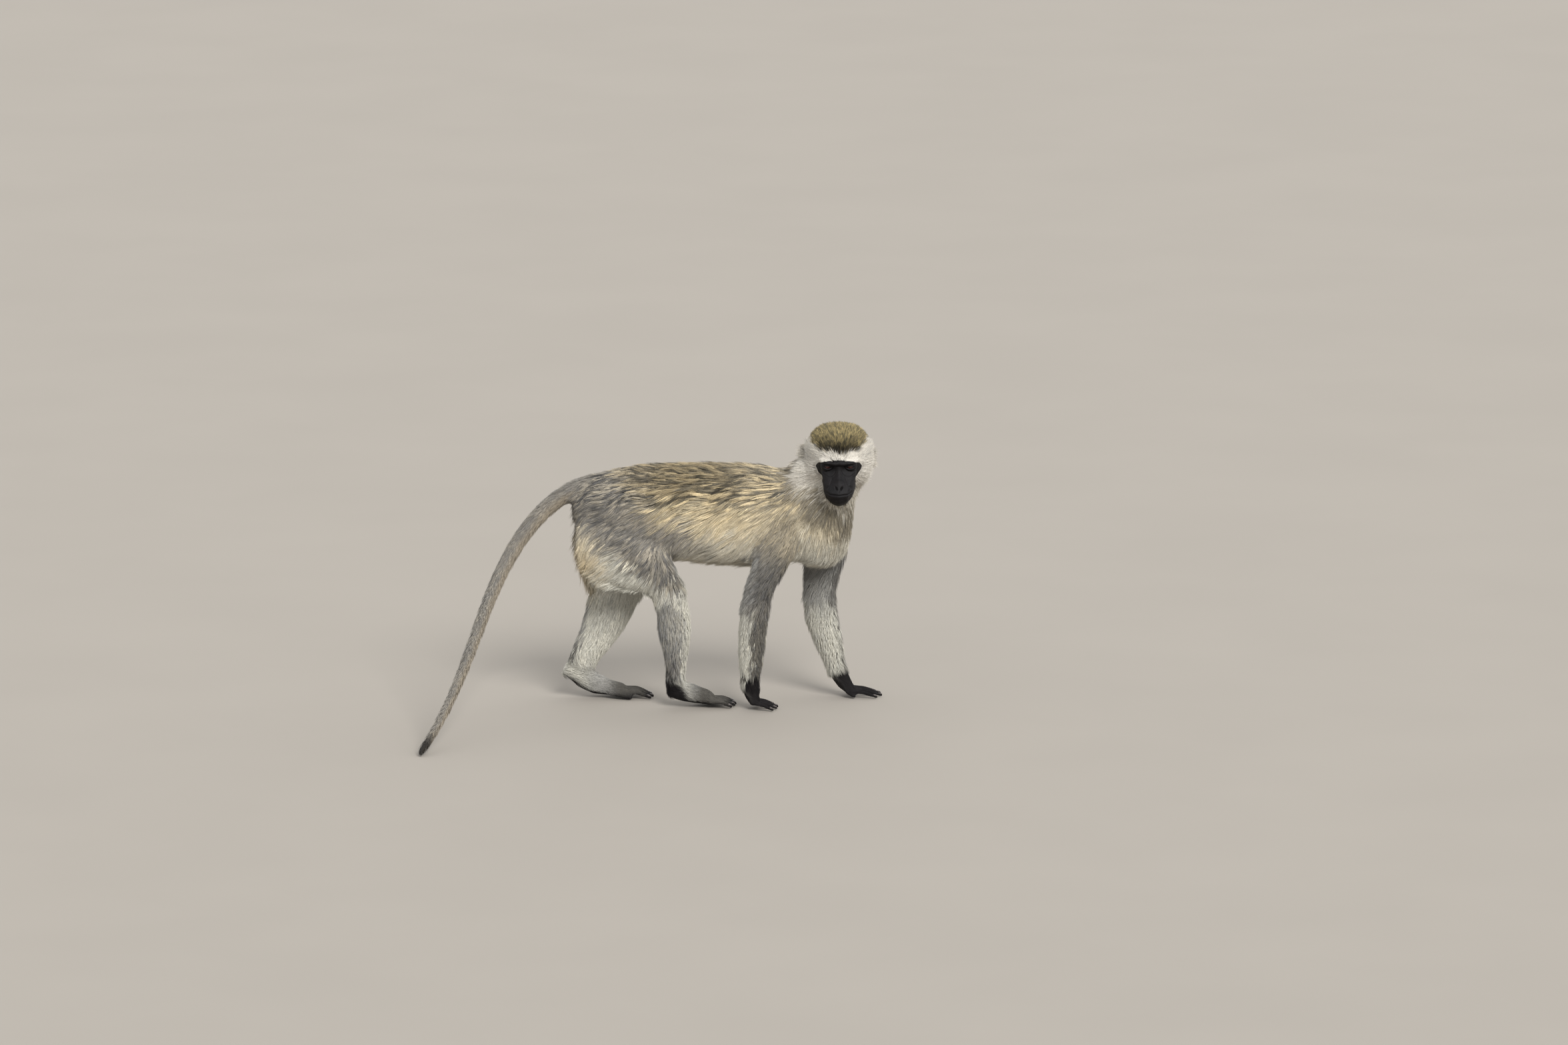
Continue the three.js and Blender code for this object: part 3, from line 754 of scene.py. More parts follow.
class Term:
    """A number travelling between shader nodes, with ordinary arithmetic."""

    def __init__(self, finish, socket):
        self.finish, self.socket = finish, socket

    def math(self, operation, a, b):
        return self.finish.node("ShaderNodeMath", {"operation": operation}, {0: a, 1: b})

    def __add__(self, other):
        return self.math("ADD", self, other)

    def __sub__(self, other):
        return self.math("SUBTRACT", self, other)

    def __rsub__(self, other):
        return self.math("SUBTRACT", other, self)

    def __mul__(self, other):
        return self.math("MULTIPLY", self, other)

    __radd__ = __add__
    __rmul__ = __mul__

    def smaller(self, other):
        return self.math("MINIMUM", self, other)

    def between(self, low, high):
        """0 to 1 as this goes from low to high, smoothly."""
        values = {"Value": self, "From Min": low, "From Max": high}
        return self.finish.node("ShaderNodeMapRange", {"interpolation_type": "SMOOTHSTEP"}, values)


class Finish:
    """A material made of nodes round one Principled surface."""

    def __init__(self, name, **constants):
        self.material = bpy.data.materials.new(name)
        self.material.use_nodes = True
        self.tree = self.material.node_tree
        self.tree.nodes.clear()
        out = self.tree.nodes.new("ShaderNodeOutputMaterial")
        self.surface = self.tree.nodes.new("ShaderNodeBsdfPrincipled")
        self.tree.links.new(self.surface.outputs[0], out.inputs["Surface"])
        for key, value in constants.items():
            socket = key.replace("_", " ").title().replace("Ior", "IOR")
            self.surface.inputs[socket].default_value = value

    def node(self, kind, settings=None, values=None, out=0):
        return Term(self, add_node(self.tree, kind, settings, values).outputs[out])

    def set(self, name, value):
        feed(self.tree, self.surface.inputs[name], value)

    def place(self):
        return self.node("ShaderNodeTexCoord", out="Object")

    def noise(self, scale, detail=3.0, at=None, rough=0.55):
        values = {"Vector": at or self.place(), "Scale": scale, "Detail": detail, "Roughness": rough}
        return self.node("ShaderNodeTexNoise", None, values, out=0)

    def blend(self, share, a, b, how="MIX"):
        """a where share is 0, b where it is 1: inputs 0, 6 and 7 are factor and colours."""
        settings = {"data_type": "RGBA", "blend_type": how}
        return self.node("ShaderNodeMix", settings, {0: share, 6: a, 7: b}, out=2)

    def attribute(self, name, out="Color"):
        return self.node("ShaderNodeAttribute", {"attribute_name": name}, None, out)

    def bump(self, height, strength, distance):
        values = {"Height": height, "Strength": strength, "Distance": distance}
        self.set("Normal", self.node("ShaderNodeBump", None, values))


def rgba(colour):
    """Scene-linear colour for a socket."""
    return (*[float(x) for x in colour], 1.0)


HIDE = rgba((0.0018, 0.0012, 0.0012)), rgba((0.0046, 0.0031, 0.0031))   # bare black skin


def skin_finish():
    """Coat-coloured under the fur, black creased leather where it is bare."""
    fin = Finish("monkey_skin", specular_ior_level=0.2)
    bare = fin.attribute("bare", "Fac")
    coat = fin.attribute("marking")
    blotch = fin.noise(90.0, 4.0)
    hide = fin.blend(blotch.between(0.35, 0.7), *HIDE)
    fin.set("Base Color", fin.blend(bare, coat, hide))
    cells = fin.node("ShaderNodeTexVoronoi", {"feature": "DISTANCE_TO_EDGE"},
                     {"Vector": fin.place(), "Scale": 900.0})
    fine = fin.noise(1600.0, 2.0)
    lines = fin.noise(260.0, 5.0, rough=0.6)
    height = cells.smaller(0.25) * 1.2 + fine * 0.3 + lines
    fin.set("Roughness", 0.5 + 0.2 * blotch + 0.25 * (1 - bare))
    fin.bump(height * bare + fine * (1 - bare), 0.55, 0.0006)
    return fin.material


def coat_finish(name):
    """Hair: the tuft's own colour, broken up a little across and along it."""
    fin = Finish(name, specular_ior_level=0.12)
    base = fin.attribute("coat")
    grain = fin.noise(420.0, 3.0)
    shade = fin.node("ShaderNodeMapRange", None, {
        "Value": grain, "From Min": 0.25, "From Max": 0.75, "To Min": 0.8, "To Max": 1.2})
    grey = fin.node("ShaderNodeCombineColor", None, {0: shade, 1: shade, 2: shade})
    fin.set("Base Color", fin.blend(1.0, base, grey, "MULTIPLY"))
    fin.set("Roughness", 0.62 + 0.3 * grain)
    return fin.material


# ---- coat ---------------------------------------------------------------------------------

def sample_roots(rng, count, density):
    """Root points on the skin: triangle and its three shares."""
    p, tri = body.points, body.triangles
    a, b, c = p[tri.T]
    area = np.linalg.norm(np.cross(b - a, c - a), axis=1) / 2
    chance = area * density[tri].mean(1)
    total = np.cumsum(chance)
    spots = (np.arange(count) + rng.random(count)) / count * total[-1]
    face = np.minimum(np.searchsorted(total, spots), len(tri) - 1)
    a, b = np.sqrt(rng.random(count)), rng.random(count)
    share = np.stack([1 - a, a * (1 - b), a * b], 1)
    return face, share


def at_roots(values, face, share):
    picked = values[body.triangles[face]]
    if picked.ndim == 2:
        return (picked * share).sum(1)
    return (picked * share[:, :, None]).sum(1)


def nearest(points):
    """Closest skin place to each point, with its triangle."""
    places, faces = np.empty((len(points), 3)), np.empty(len(points), int)
    for i, point in enumerate(points.tolist()):
        place, _, face, _ = body.tree.find_nearest(point)
        places[i] = place
        faces[i] = face
    return places, faces


PLACES = np.array([0, 0.42, 1])     # root, thickest place and tip of a tuft
ROOT_DEPTH = 0.6                    # how deep roots lie in the skin, in mm
TUFT_PATCH = 0.003                  # side of a tuft's patch on the skin laid flat
FLAT_EDGE = 0.02                    # free edge round the skin laid flat
# Tufts of the under-layer: their share, and their width, length, depth and tone beside the rest.
UNDER_SHARE, UNDER_WIDTH, UNDER_LENGTH, UNDER_DEPTH, UNDER_TONE = 0.3, 2.3, 0.75, 0.6, 0.92
COOL, WARM = np.array([0.94, 0.98, 1.06]), np.array([1.05, 1.01, 0.90])     # dark and light tufts
# The darker root is partly the hair's own banding and partly painted shade deep in the coat.
ROOT_TO_TIP = np.array([-0.45, -0.06, 0.06])    # how a tuft's tone changes along it
DARK_SHARE = 0.3                    # share of tufts with a dark tip where the coat is grizzled
DARK_TIP = np.array([1, 0.965, 0.5])            # tone along a tuft with a dark tip
# A tuft's section, in half widths: its edges lie below its middle line, its ridge above.
EDGE_DROP, RIDGE_RISE = 0.3, 0.6
LEAN_SIDE, LEAN_OUT = 0.67, 0.74    # which way its two upper sides face
SOFTENED = np.array([0.15, 0.9, 0.9])           # how far each side's shading turns to the skin's


def grow(root, normal, flow, length, depth, lift, free, swirl, droop):
    """Paths of the tufts from root to tip, hugging the body as much as they should."""
    paths = np.empty((len(root), len(PLACES), 3))
    paths[:, 0] = root - normal * ROOT_DEPTH
    loose, close, heading = root, root, flow
    for k in range(1, len(PLACES)):
        share, before = PLACES[k], PLACES[k - 1]
        ds = (length * (share - before))[:, None]
        tilt = lift * (1 - 0.75 * (share + before) / 2)
        loose = loose + ds * unit(flow * np.cos(tilt)[:, None] + normal * np.sin(tilt)[:, None]
                                  - Z * (droop * share)[:, None])
        ahead = close + ds * heading
        place, face = nearest(ahead)
        corners = body.triangles[face]
        up = unit(body.normals[corners].mean(1))
        turned = body.flow[corners].mean(1) + swirl * np.cross(up, heading)
        heading = unit(0.5 * heading + 0.5 * turned)
        heading = unit(heading - up * (heading * up).sum(1)[:, None])
        close = place
        rise = depth * (1 - (1 - share) ** 1.7)
        paths[:, k] = mix(close + up * rise[:, None], loose, free)
    return paths


def clumped(paths, spacing, strength, stretch, rng):
    """Draws tips together so that tufts gather in locks, longer along the stretch."""
    count = len(paths)
    chosen = rng.permutation(count)[: max(4, int(count / spacing))]
    tree = KDTree(len(chosen))
    middle = (paths[:, 0] * 0.5 + paths[:, -1] * 0.5) * stretch
    for i, k in enumerate(chosen):
        tree.insert(middle[k], i)
    tree.balance()
    lock = np.array([tree.find(m)[1] for m in middle.tolist()])
    lead = paths[chosen[lock]]
    pull = strength[:, None, None] * PLACES[None, :, None] ** 1.2
    return paths + (lead - paths) * pull, lock


def tuft_mesh(name, paths, up, width, colours, roots_uv, material):
    """Closed three-sided spindles along their paths, joined in one mesh."""
    count, per = len(paths), 5
    root, middle, tip = paths.transpose(1, 0, 2)
    run = unit(tip - root)
    side = unit(np.cross(run, up))
    out = unit(np.cross(side, run))
    half = (width / 2)[:, None]
    low = middle - out * half * EDGE_DROP
    ridge = middle + out * half * RIDGE_RISE
    points = np.stack([low - side * half, low + side * half, ridge, root, tip], 1)
    tint = np.ones((count, per, 4), np.float32)
    tint[:, :, :3] = colours[:, [1, 1, 1, 0, 2]]
    loops, corners = [], []
    for j in range(3):
        k, u0, u1 = (j + 1) % 3, j / 3, (j + 1) / 3
        loops += [3, j, k, k, j, 4]
        corners += [((u0 + u1) / 2, 0), (u0, PLACES[1]), (u1, PLACES[1])]
        corners += [(u1, PLACES[1]), (u0, PLACES[1]), ((u0 + u1) / 2, 1)]
    loops, starts, corners = np.array(loops), np.arange(0, 18, 3), np.array(corners, float)
    shift = np.arange(count)[:, None]
    me = bpy.data.meshes.new(name)
    me.vertices.add(count * per)
    me.vertices.foreach_set("co", (points * MM).astype(np.float32).ravel())
    me.loops.add(count * len(loops))
    me.loops.foreach_set("vertex_index", (loops[None] + shift * per).astype(np.int32).ravel())
    me.polygons.add(count * len(starts))
    me.polygons.foreach_set("loop_start", (starts[None] + shift * len(loops)).astype(np.int32).ravel())
    me.update(calc_edges=True)
    me.shade_smooth()
    # The sides lean apart so that a tuft looks round, the upper ones towards the coat's surface.
    right, left = LEAN_OUT * out + LEAN_SIDE * side, LEAN_OUT * out - LEAN_SIDE * side
    lean = unit(np.stack([-out, right, left], 1) + SOFTENED[None, :, None] * up[:, None])
    me.normals_split_custom_set(lean.repeat(6, 1).reshape(-1, 3))
    layer = me.uv_layers.new(name="OFBake")
    patch = (roots_uv[:, None] + (corners[None] - 0.5) * TUFT_PATCH).clip(0.001, 0.999)
    layer.uv.foreach_set("vector", patch.astype(np.float32).ravel())
    dye = me.color_attributes.new("coat", "FLOAT_COLOR", "POINT")
    dye.data.foreach_set("color", tint.ravel())
    me.materials.append(material)
    return linked(name, me)


def unwrapped(p, line):
    """Place of roots on the skin laid flat: along a centre line and round it."""
    t, centre, heading = line.at(p)
    away = p - centre
    side = unit(np.cross(heading, Y + 0.3 * X))
    third = np.cross(heading, side)
    angle = np.arctan2((away * third).sum(1), (away * side).sum(1)) / (2 * math.pi) + 0.5
    t = (t - t.min()) / max(t.max() - t.min(), 1e-6)
    return FLAT_EDGE + (1 - 2 * FLAT_EDGE) * np.stack([t, angle], 1)


def tuft_paths(rng, get, root, normal, settings):
    """Path and width of each tuft, and which of them belong to the under-layer."""
    count = len(root)
    flow = get(body.flow)
    flow = unit(flow - normal * (flow * normal).sum(1)[:, None])
    angle = (get(body.swirl) + rng.normal(0, 0.13, count))[:, None]
    flow = flow * np.cos(angle) + np.cross(normal, flow) * np.sin(angle)
    length = get(body.length) * rng.uniform(0.7, 1.15, count) * settings.length
    depth = get(body.depth) * rng.uniform(0.4, 1.1, count)
    lift = np.radians(get(body.lift)) * rng.uniform(0.6, 1.4, count)
    free = (get(body.free) + rng.normal(0, 0.08, count)).clip(0, 1)
    width = get(body.width) * rng.uniform(0.7, 1.3, count) * settings.width
    under = rng.random(count) < UNDER_SHARE
    width[under] *= UNDER_WIDTH
    length[under] *= UNDER_LENGTH
    depth[under] *= UNDER_DEPTH
    turn = rng.normal(0, 0.1, count)[:, None]
    paths = grow(root, normal, flow, length, depth, lift, free, turn, get(body.droop))
    return paths, width, under


def tuft_colours(rng, get, root, lock, under, contrast):
    """Colours of the tufts at root, middle and tip: grizzled one by one, streaked lock by lock."""
    count, locks = len(root), lock.max() + 1
    grizzle, streaks = get(body.grizzle), get(body.streaks)
    tone = streaks * rng.normal(size=locks)[lock] + 0.35 * rng.normal(size=count)
    tone = (tone + 0.15 * body.drift(root)) * grizzle
    bright = np.exp(contrast * tone.clip(-2.2, 1.4))
    warm = 0.5 + 0.5 * np.tanh(1.5 * tone) * (0.2 + 0.8 * grizzle)
    tints = mix(COOL, WARM, warm)
    bright *= np.exp(rng.normal(0, 0.05, count)) * np.where(under, UNDER_TONE, 1.0)
    # Each lock takes the markings of a place nearby, so that borders are ragged.
    wander = rng.normal(size=(locks, 3))[lock] * get(body.stray)[:, None]
    beside = body.triangles[nearest(root + wander)[1]]
    base = body.colour[beside].mean(1) * tints * bright[:, None]
    # Roots darker than tips: partly the hair's own banding, partly painted shade deep in the coat.
    band = 1 + ROOT_TO_TIP * (0.25 + 0.75 * grizzle)[:, None]
    band[rng.random(count) < DARK_SHARE * grizzle] *= DARK_TIP
    return (base[:, None] * band[:, :, None]).clip(0, 0.95)


def grow_coat(name, slot, seed, count, where, line, stretch):
    """One piece of the coat over the part of the skin where the mask is set."""
    settings = bpy.context.scene.monkey_coat
    rng = np.random.default_rng(seed)
    count = int(count * settings.density)
    own = (where > 0.5) * step(0.85, 0.25, body.rim) * body.density
    face, share = sample_roots(rng, count, own)
    get = partial(at_roots, face=face, share=share)
    root, normal = get(body.points), unit(get(body.normals))
    paths, width, under = tuft_paths(rng, get, root, normal, settings)
    pull = get(body.clump) * rng.uniform(0.5, 1.2, count)
    paths, lock = clumped(paths, settings.lock, pull, stretch, rng)
    paths[..., 2] = np.maximum(paths[..., 2], LOWEST_HAIR)
    colours = tuft_colours(rng, get, root, lock, under, settings.contrast)
    ob = tuft_mesh(name, paths, normal, width, colours, unwrapped(root, line), coat_finish(name))
    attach(ob, "root")


# ---- building the skin -------------------------------------------------------------------

EAR_INSET = 15.0        # the ears sit on the skull, deep in the ruff
EAR_GRAIN = 1.2         # facet size of the ears
SKULL_BACK = 8          # how far the skull's middle lies behind the middle of the head
SKULL_ROUND = 2.7       # power of its curve: 2 is an ellipsoid, more is boxier
SKULL_SIDE = 37.5       # how far it reaches from its middle to each side
SKULL_FRONT, SKULL_REAR = 43, 38        # forward and back
SKULL_TOP, SKULL_LOW = 33.5, 46         # up and down
LOWEST_SKIN = 0.25      # the soles stay this far above the floor
LOWEST_HAIR = 0.8


def skull(points):
    """The place on the skull's rounded case below each point of the head."""
    s, f, u = on_head(points)
    q = np.stack([s, f + SKULL_BACK, u], 1)
    length = np.where(q[:, 1] > 0, SKULL_FRONT, SKULL_REAR)
    size = np.stack([0 * s + SKULL_SIDE, length, np.where(u > 0, SKULL_TOP, SKULL_LOW)], 1)
    q /= ((np.abs(q / size) ** SKULL_ROUND).sum(1) ** (1 / SKULL_ROUND))[:, None]
    return HEAD_CENTRE + q[:, :1] * X + (q[:, 1:2] - SKULL_BACK) * HEAD_F + q[:, 2:] * HEAD_U


def add_ears(core):
    """Small ears, deep in the ruff, made one with the skin."""
    ears = joined("ears", EARS, EAR_GRAIN)
    points = Web(ears.data).smooth(points_of(ears.data), 3)
    points[:, 0] -= EAR_INSET * np.sign(points[:, 0] - HEAD_CENTRE[0])
    put_points(ears.data, points)
    union = core.modifiers.new("union", "BOOLEAN")
    union.operation = "UNION"
    union.solver = "MANIFOLD"
    union.object = ears
    before = len(core.data.vertices)
    applied(core)
    bpy.data.objects.remove(ears)
    if len(core.data.vertices) < before * 0.9:
        raise RuntimeError("the ears did not join the skin")


def shape_skin(settings):
    """The whole skin as one closed surface, finer on the face."""
    core = joined("skin", [n for n in FLESH + EYES if n[:3] != "ear"], settings.grain)
    web = Web(core.data)
    points = points_of(core.data)
    weights = node_weights(points, web, 24)
    hard = sum(weights[:, FLESH.index(n)] for n in HARD)
    points = web.smooth(points, 10, where=1 - 0.8 * step(0.3, 0.9, hard))
    put_points(core.data, points)
    head = web.smooth(step(0.3, 0.8, weights[:, FLESH.index("head")]), 12)
    sunk(core, coat_depth(points, weights) * (1 - head), web)
    put_points(core.data, mix(points_of(core.data), skull(points), head))
    remeshed(core, settings.grain)
    put_points(core.data, Web(core.data).smooth(points_of(core.data), 2))
    add_ears(core)
    refine(core, lambda p: bare_face(p) > 0.01)
    points = points_of(core.data)
    put_points(core.data, Web(core.data).smooth(points, 3, where=bare_face(points)))
    refine(core, lambda p: fine_places(p, settings.fine_reach))
    points = points_of(core.data)
    normal = unit(Web(core.data).smooth(normals_of(points, triangles_of(core.data)), 6))
    s, f, _ = on_head(points)
    face = np.clip(bare_face(points) + step(30, 24, np.abs(s)) * step(28, 34, f), 0, 1)
    points = mix(points, sculpt_face(points, normal), face)
    points[:, 2] = np.maximum(points[:, 2], LOWEST_SKIN)
    put_points(core.data, points)
    return core


def fine_places(p, reach):
    """Round the eyes, the nose and the mouth."""
    s, f, u = on_head(p)
    eyes = (np.hypot(np.abs(s) - EYE_ACROSS, u) < reach) & (f > 26)
    nose = (np.abs(s) < 12) & (u > -24) & (u < -14) & (f > 40)
    mouth = (np.abs(s) < 27) & (u > -34) & (u < -24) & (f > 40)
    return eyes | nose | mouth


def know_body(ob):
    """Fills in everything the coat needs to know at the skin's points."""
    me = ob.data
    p, tri = points_of(me), triangles_of(me)
    web = Web(me)
    n = normals_of(p, tri)
    calm = unit(web.smooth(n, 16))
    weights = node_weights(p, web, 44)
    body.points, body.triangles, body.normals, body.weights = p, tri, calm, weights
    body.tree = BVHTree.FromPolygons(p.tolist(), tri.tolist())
    body.flow = flow_field(p, calm, weights, web)
    colour, grizzle = markings(p, calm, weights)
    body.colour, body.grizzle = web.smooth(colour, 2), web.smooth(grizzle, 2)
    bare = bare_skin(p, calm, weights)
    body.rim = web.smooth(bare, 6)
    body.depth = coat_depth(p, weights)
    body.length, body.lift, body.free, body.width = (coat_number(weights, k) for k in (1, 2, 3, 4))
    groom(p, weights)
    keep(me, "marking", np.hstack([colour * 0.9, np.ones((len(p), 1))]))
    keep(me, "bare", step(0.02, 0.4, bare))


def changed(zone, **values):
    """Brings numbers of the coat to new values in a zone."""
    for name, value in values.items():
        setattr(body, name, mix(getattr(body, name), value, zone))


def groom_head(p, w):
    """Standing cap, long cheeks and short brow; body.cap parts the cap from the ruff."""
    s, f, u = on_head(p)
    body.cap = step(16, 18, u)
    cap = w("head") * step(12, 18, u) * step(48, 36, np.abs(s))
    inner = np.interp(u, [-55, -40, -20, 0], [4, 12, 20, 25])
    cheek = step(0, 9, np.abs(s) - inner) * step(22, 8, u)
    cheek = cheek * w("head", "face", *EARS)
    brow = w("head", "face") * step(18, 26, f) * bell(u - 8, 7) * step(40, 32, np.abs(s))
    changed(cap, length=10.0, lift=62.0, width=0.48, free=0.85)
    changed(cheek, length=24.0, lift=31.0, width=0.5, free=0.68)
    changed(brow, length=5.5, lift=32.0)
    return cap


def groom_legs(p, w):
    """Long hair behind the thighs and shanks, fuller ankles."""
    for name in SIDES:
        thigh, shank, foot = f"thigh_{name}", f"shank_{name}", f"foot_{name}"
        _, centre, _ = THIGH[name].at(p)
        rear = step(-8, -26, p[:, 0] - centre[:, 0]) * w(thigh)
        rim = step(55, 15, p[:, 2] - box(thigh)[0][2]) * step(0.8, 0.55, along_box(p, thigh))
        body.length += 13 * rear
        rear = np.maximum(rear, 0.8 * rim * w(thigh))
        body.free = np.maximum(body.free, 0.75 * rear)
        body.droop += 0.4 * rear
        t, centre, _ = SHANK[name].at(p)
        rear = step(-4, -14, p[:, 0] - centre[:, 0]) * w(shank) * step(0.75, 0.3, t)
        body.length += 6 * rear
        body.free = np.maximum(body.free, 0.5 * rear)
        ankle = step(0.5, 0.3, along_box(p, foot)) * step(14, 22, p[:, 2]) * w(foot)
        body.length += 3 * ankle
        body.width += 0.08 * ankle


def groom(p, weights):
    """Places where the coat is longer, stands up, hangs or gathers in locks."""
    w = partial(part, weights)
    trunk, torso = w("rump", "belly", "chest", "neck"), w("rump", "belly", "chest")
    head, thighs, upper_arms = w("head"), w("thigh_r", "thigh_l"), w("upper_arm_r", "upper_arm_l")
    height = (p[:, 2] - TRUNK_LOW) / (TRUNK_TOP - TRUNK_LOW)
    cap = groom_head(p, w)
    body.free = np.maximum(body.free, 0.6 * w("belly", "chest") * step(0.22, 0.0, height))
    body.droop = 0.35 * trunk * step(0.6, 0.2, height) + 0.12
    groom_legs(p, w)
    body.depth = body.depth + 2.2 * w(*TAIL)
    body.depth = body.depth + 1.2 * w("upper_arm_r", "forearm_r") + 2.4 * w("upper_arm_l", "forearm_l")
    changed(w("tail_5") * step(0.9, 0.97, TAIL_LINE.at(p)[0]), length=17.0)
    body.swirl = Ripple(21, 34)(p) * (0.26 * trunk + 0.12 * thighs + 0.07) * (1 - 0.7 * head)
    body.clump = 0.62 * trunk + 0.55 * (thighs + upper_arms) + 0.25 * w(*TAIL)
    body.clump += 0.4 * w("shank_r", "shank_l", "forearm_r", "forearm_l")
    body.clump += head * (0.08 + 0.25 * cap)
    body.stray = 6.5 * trunk + 4.5 * thighs + head + 3.5 * upper_arms
    body.stray += 3.5 * w("forearm_r", "forearm_l", "shank_r", "shank_l")
    body.density = 1.0 + 0.7 * w("hand_r", "hand_l", "foot_r", "foot_l") + 0.5 * head
    body.density *= step(0.4, 2.0, p[:, 2])
    body.streaks = 0.25 + 0.6 * thighs + 0.7 * cap
    body.streaks += torso * (0.3 + 1.45 * step(0.58, 0.8, height))
    body.drift = Ripple(31, 45)


# ---- eyes, nails and bristles ----------------------------------------------------------------

PUPIL, IRIS_RIM = rgba((0.004, 0.003, 0.003)), rgba((0.012, 0.007, 0.006))
EYE_WHITE = rgba((0.03, 0.014, 0.012))      # brown, as in most monkeys
# Where pupil, iris and rim end, and where the cornea does, in degrees from the gaze.
PUPIL_END, IRIS_END, RIM_END, CORNEA_END = (10.5, 12.5), (29, 34), (37, 42), (38, 12)
EYE_SLACK = 0.25        # how much smaller the ball is than its solid


def eye_finish(settings):
    """Wet brown eye: pupil, fibrous iris, dark rim and brown white."""
    fin = Finish("monkey_eye", roughness=0.09, specular_ior_level=0.35,
                 coat_weight=0.35, coat_roughness=0.03)
    look = fin.attribute("look", "Fac")
    fibre = fin.noise(1400.0, 3.0)
    light = linear(settings.iris)
    iris = fin.blend(fibre.between(0.3, 0.7), rgba(light * 0.55), rgba(light))
    colour = fin.blend(look.between(*PUPIL_END), PUPIL, iris)
    colour = fin.blend(look.between(*IRIS_END), colour, IRIS_RIM)
    colour = fin.blend(look.between(*RIM_END), colour, EYE_WHITE)
    fin.set("Base Color", colour)
    return fin.material


def make_eye(name, settings, material):
    """One eyeball with its cornea, looking ahead."""
    gaze = np.array([0, -math.cos(settings.gaze), math.sin(settings.gaze)])
    bm = bmesh.new()
    bmesh.ops.create_uvsphere(bm, u_segments=56, v_segments=40, radius=1.0)
    bm.transform(Vector((0, 0, 1)).rotation_difference(Vector(gaze)).to_matrix().to_4x4())
    me = bpy.data.meshes.new(f"eye_{name}_ball")
    bm.to_mesh(me)
    bm.free()
    ball = unit(points_of(me))
    look = np.degrees(np.arccos((ball @ gaze).clip(-1, 1)))
    radius = EYE_RADIUS - EYE_SLACK + settings.cornea * step(*CORNEA_END, look)
    put_points(me, EYE_CENTRE[name] + ball * radius[:, None])
    keep(me, "look", look)
    me.shade_smooth()
    me.materials.append(material)
    ob = linked(f"eyeball_{name}", me)
    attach(ob, "root")
    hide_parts(f"eye_{name}")


DIGIT_TOP = 9           # the ends of the digits are no higher than this
DIGIT_REACH = 5.5       # two ends are further apart than this
DIGIT_SPREAD = 40       # the last end lies no further behind the first


def digit_tips(node):
    """The foremost points of a hand's or foot's digits."""
    inside = (part(body.weights, node) > 0.9) & (body.points[:, 2] < DIGIT_TOP)
    p = body.points[inside]
    tips = []
    for k in np.argsort(-p[:, 0]):
        near = np.hypot(*(p[:, :2] - p[k, :2]).T) < DIGIT_REACH
        if p[near][:, 0].max() > p[k, 0] + 1e-6:
            continue
        if all(np.hypot(*(p[k, :2] - t[:2])) > DIGIT_REACH for t in tips):
            tips.append(p[k])
    return [t for t in tips if t[0] > p[:, 0].max() - DIGIT_SPREAD][:5]


NAIL_BACK, NAIL_LENGTH, NAIL_HALF = 5.2, 5.4, 2.4   # from a digit's end back; half its width
NAIL_ABOVE = 4.6        # height over the digit's end that it is laid down from
HORN = rgba(linear((0.16, 0.13, 0.12))), rgba(linear((0.30, 0.26, 0.23)))
NAIL_TOP, NAIL_EDGE, NAIL_ROOT = 0.75, 0.45, 0.3    # height over the skin, at its edge; depth in it


def nail_mesh(tips):
    """A curved plate with thickness on top of each digit's end."""
    rows, columns = 5, 7
    points, faces = [], []
    rim = [(0, c) for c in range(columns)] + [(r, columns - 1) for r in range(1, rows)]
    rim += [(rows - 1, c) for c in range(columns - 2, -1, -1)]
    rim += [(r, 0) for r in range(rows - 2, 0, -1)]
    for tip in tips:
        base = len(points)
        v, a = np.meshgrid(np.linspace(0, 1, rows), np.linspace(-1, 1, columns), indexing="ij")
        narrow = 1 - 0.25 * (v - 0.4) ** 2 - 0.3 * step(0.6, 1, v)
        grid = tip + np.stack([
            NAIL_LENGTH * v - NAIL_BACK, NAIL_HALF * a * narrow, NAIL_ABOVE - 1.2 * a**2 - 1.6 * v**2,
        ], -1).reshape(-1, 3)
        place, face = nearest(grid)
        up = unit(body.normals[body.triangles[face]].mean(1))
        edge = (np.maximum(np.abs(a), np.abs(2 * v - 1)) ** 4).reshape(-1, 1)
        top = place + up * mix(NAIL_TOP, NAIL_EDGE, edge)
        low = place - up * NAIL_ROOT
        points += [*top, *low]
        n = rows * columns
        at = lambda r, c, layer: base + layer * n + r * columns + c
        for r in range(rows - 1):
            for c in range(columns - 1):
                faces.append((at(r, c, 0), at(r + 1, c, 0), at(r + 1, c + 1, 0), at(r, c + 1, 0)))
                faces.append((at(r, c, 1), at(r, c + 1, 1), at(r + 1, c + 1, 1), at(r + 1, c, 1)))
        for (r0, c0), (r1, c1) in zip(rim, rim[1:] + rim[:1]):
            faces.append((at(r0, c0, 0), at(r0, c0, 1), at(r1, c1, 1), at(r1, c1, 0)))
    return np.array(points), faces


def nail_finish():
    """Horn: dark brown, finely ridged, a little glossy."""
    fin = Finish("monkey_nail", specular_ior_level=0.5)
    ridge = fin.noise(700.0, 2.0)
    fin.set("Base Color", fin.blend(ridge, *HORN))
    fin.set("Roughness", 0.25 + 0.25 * ridge)
    fin.bump(ridge, 0.3, 0.0002)
    return fin.material


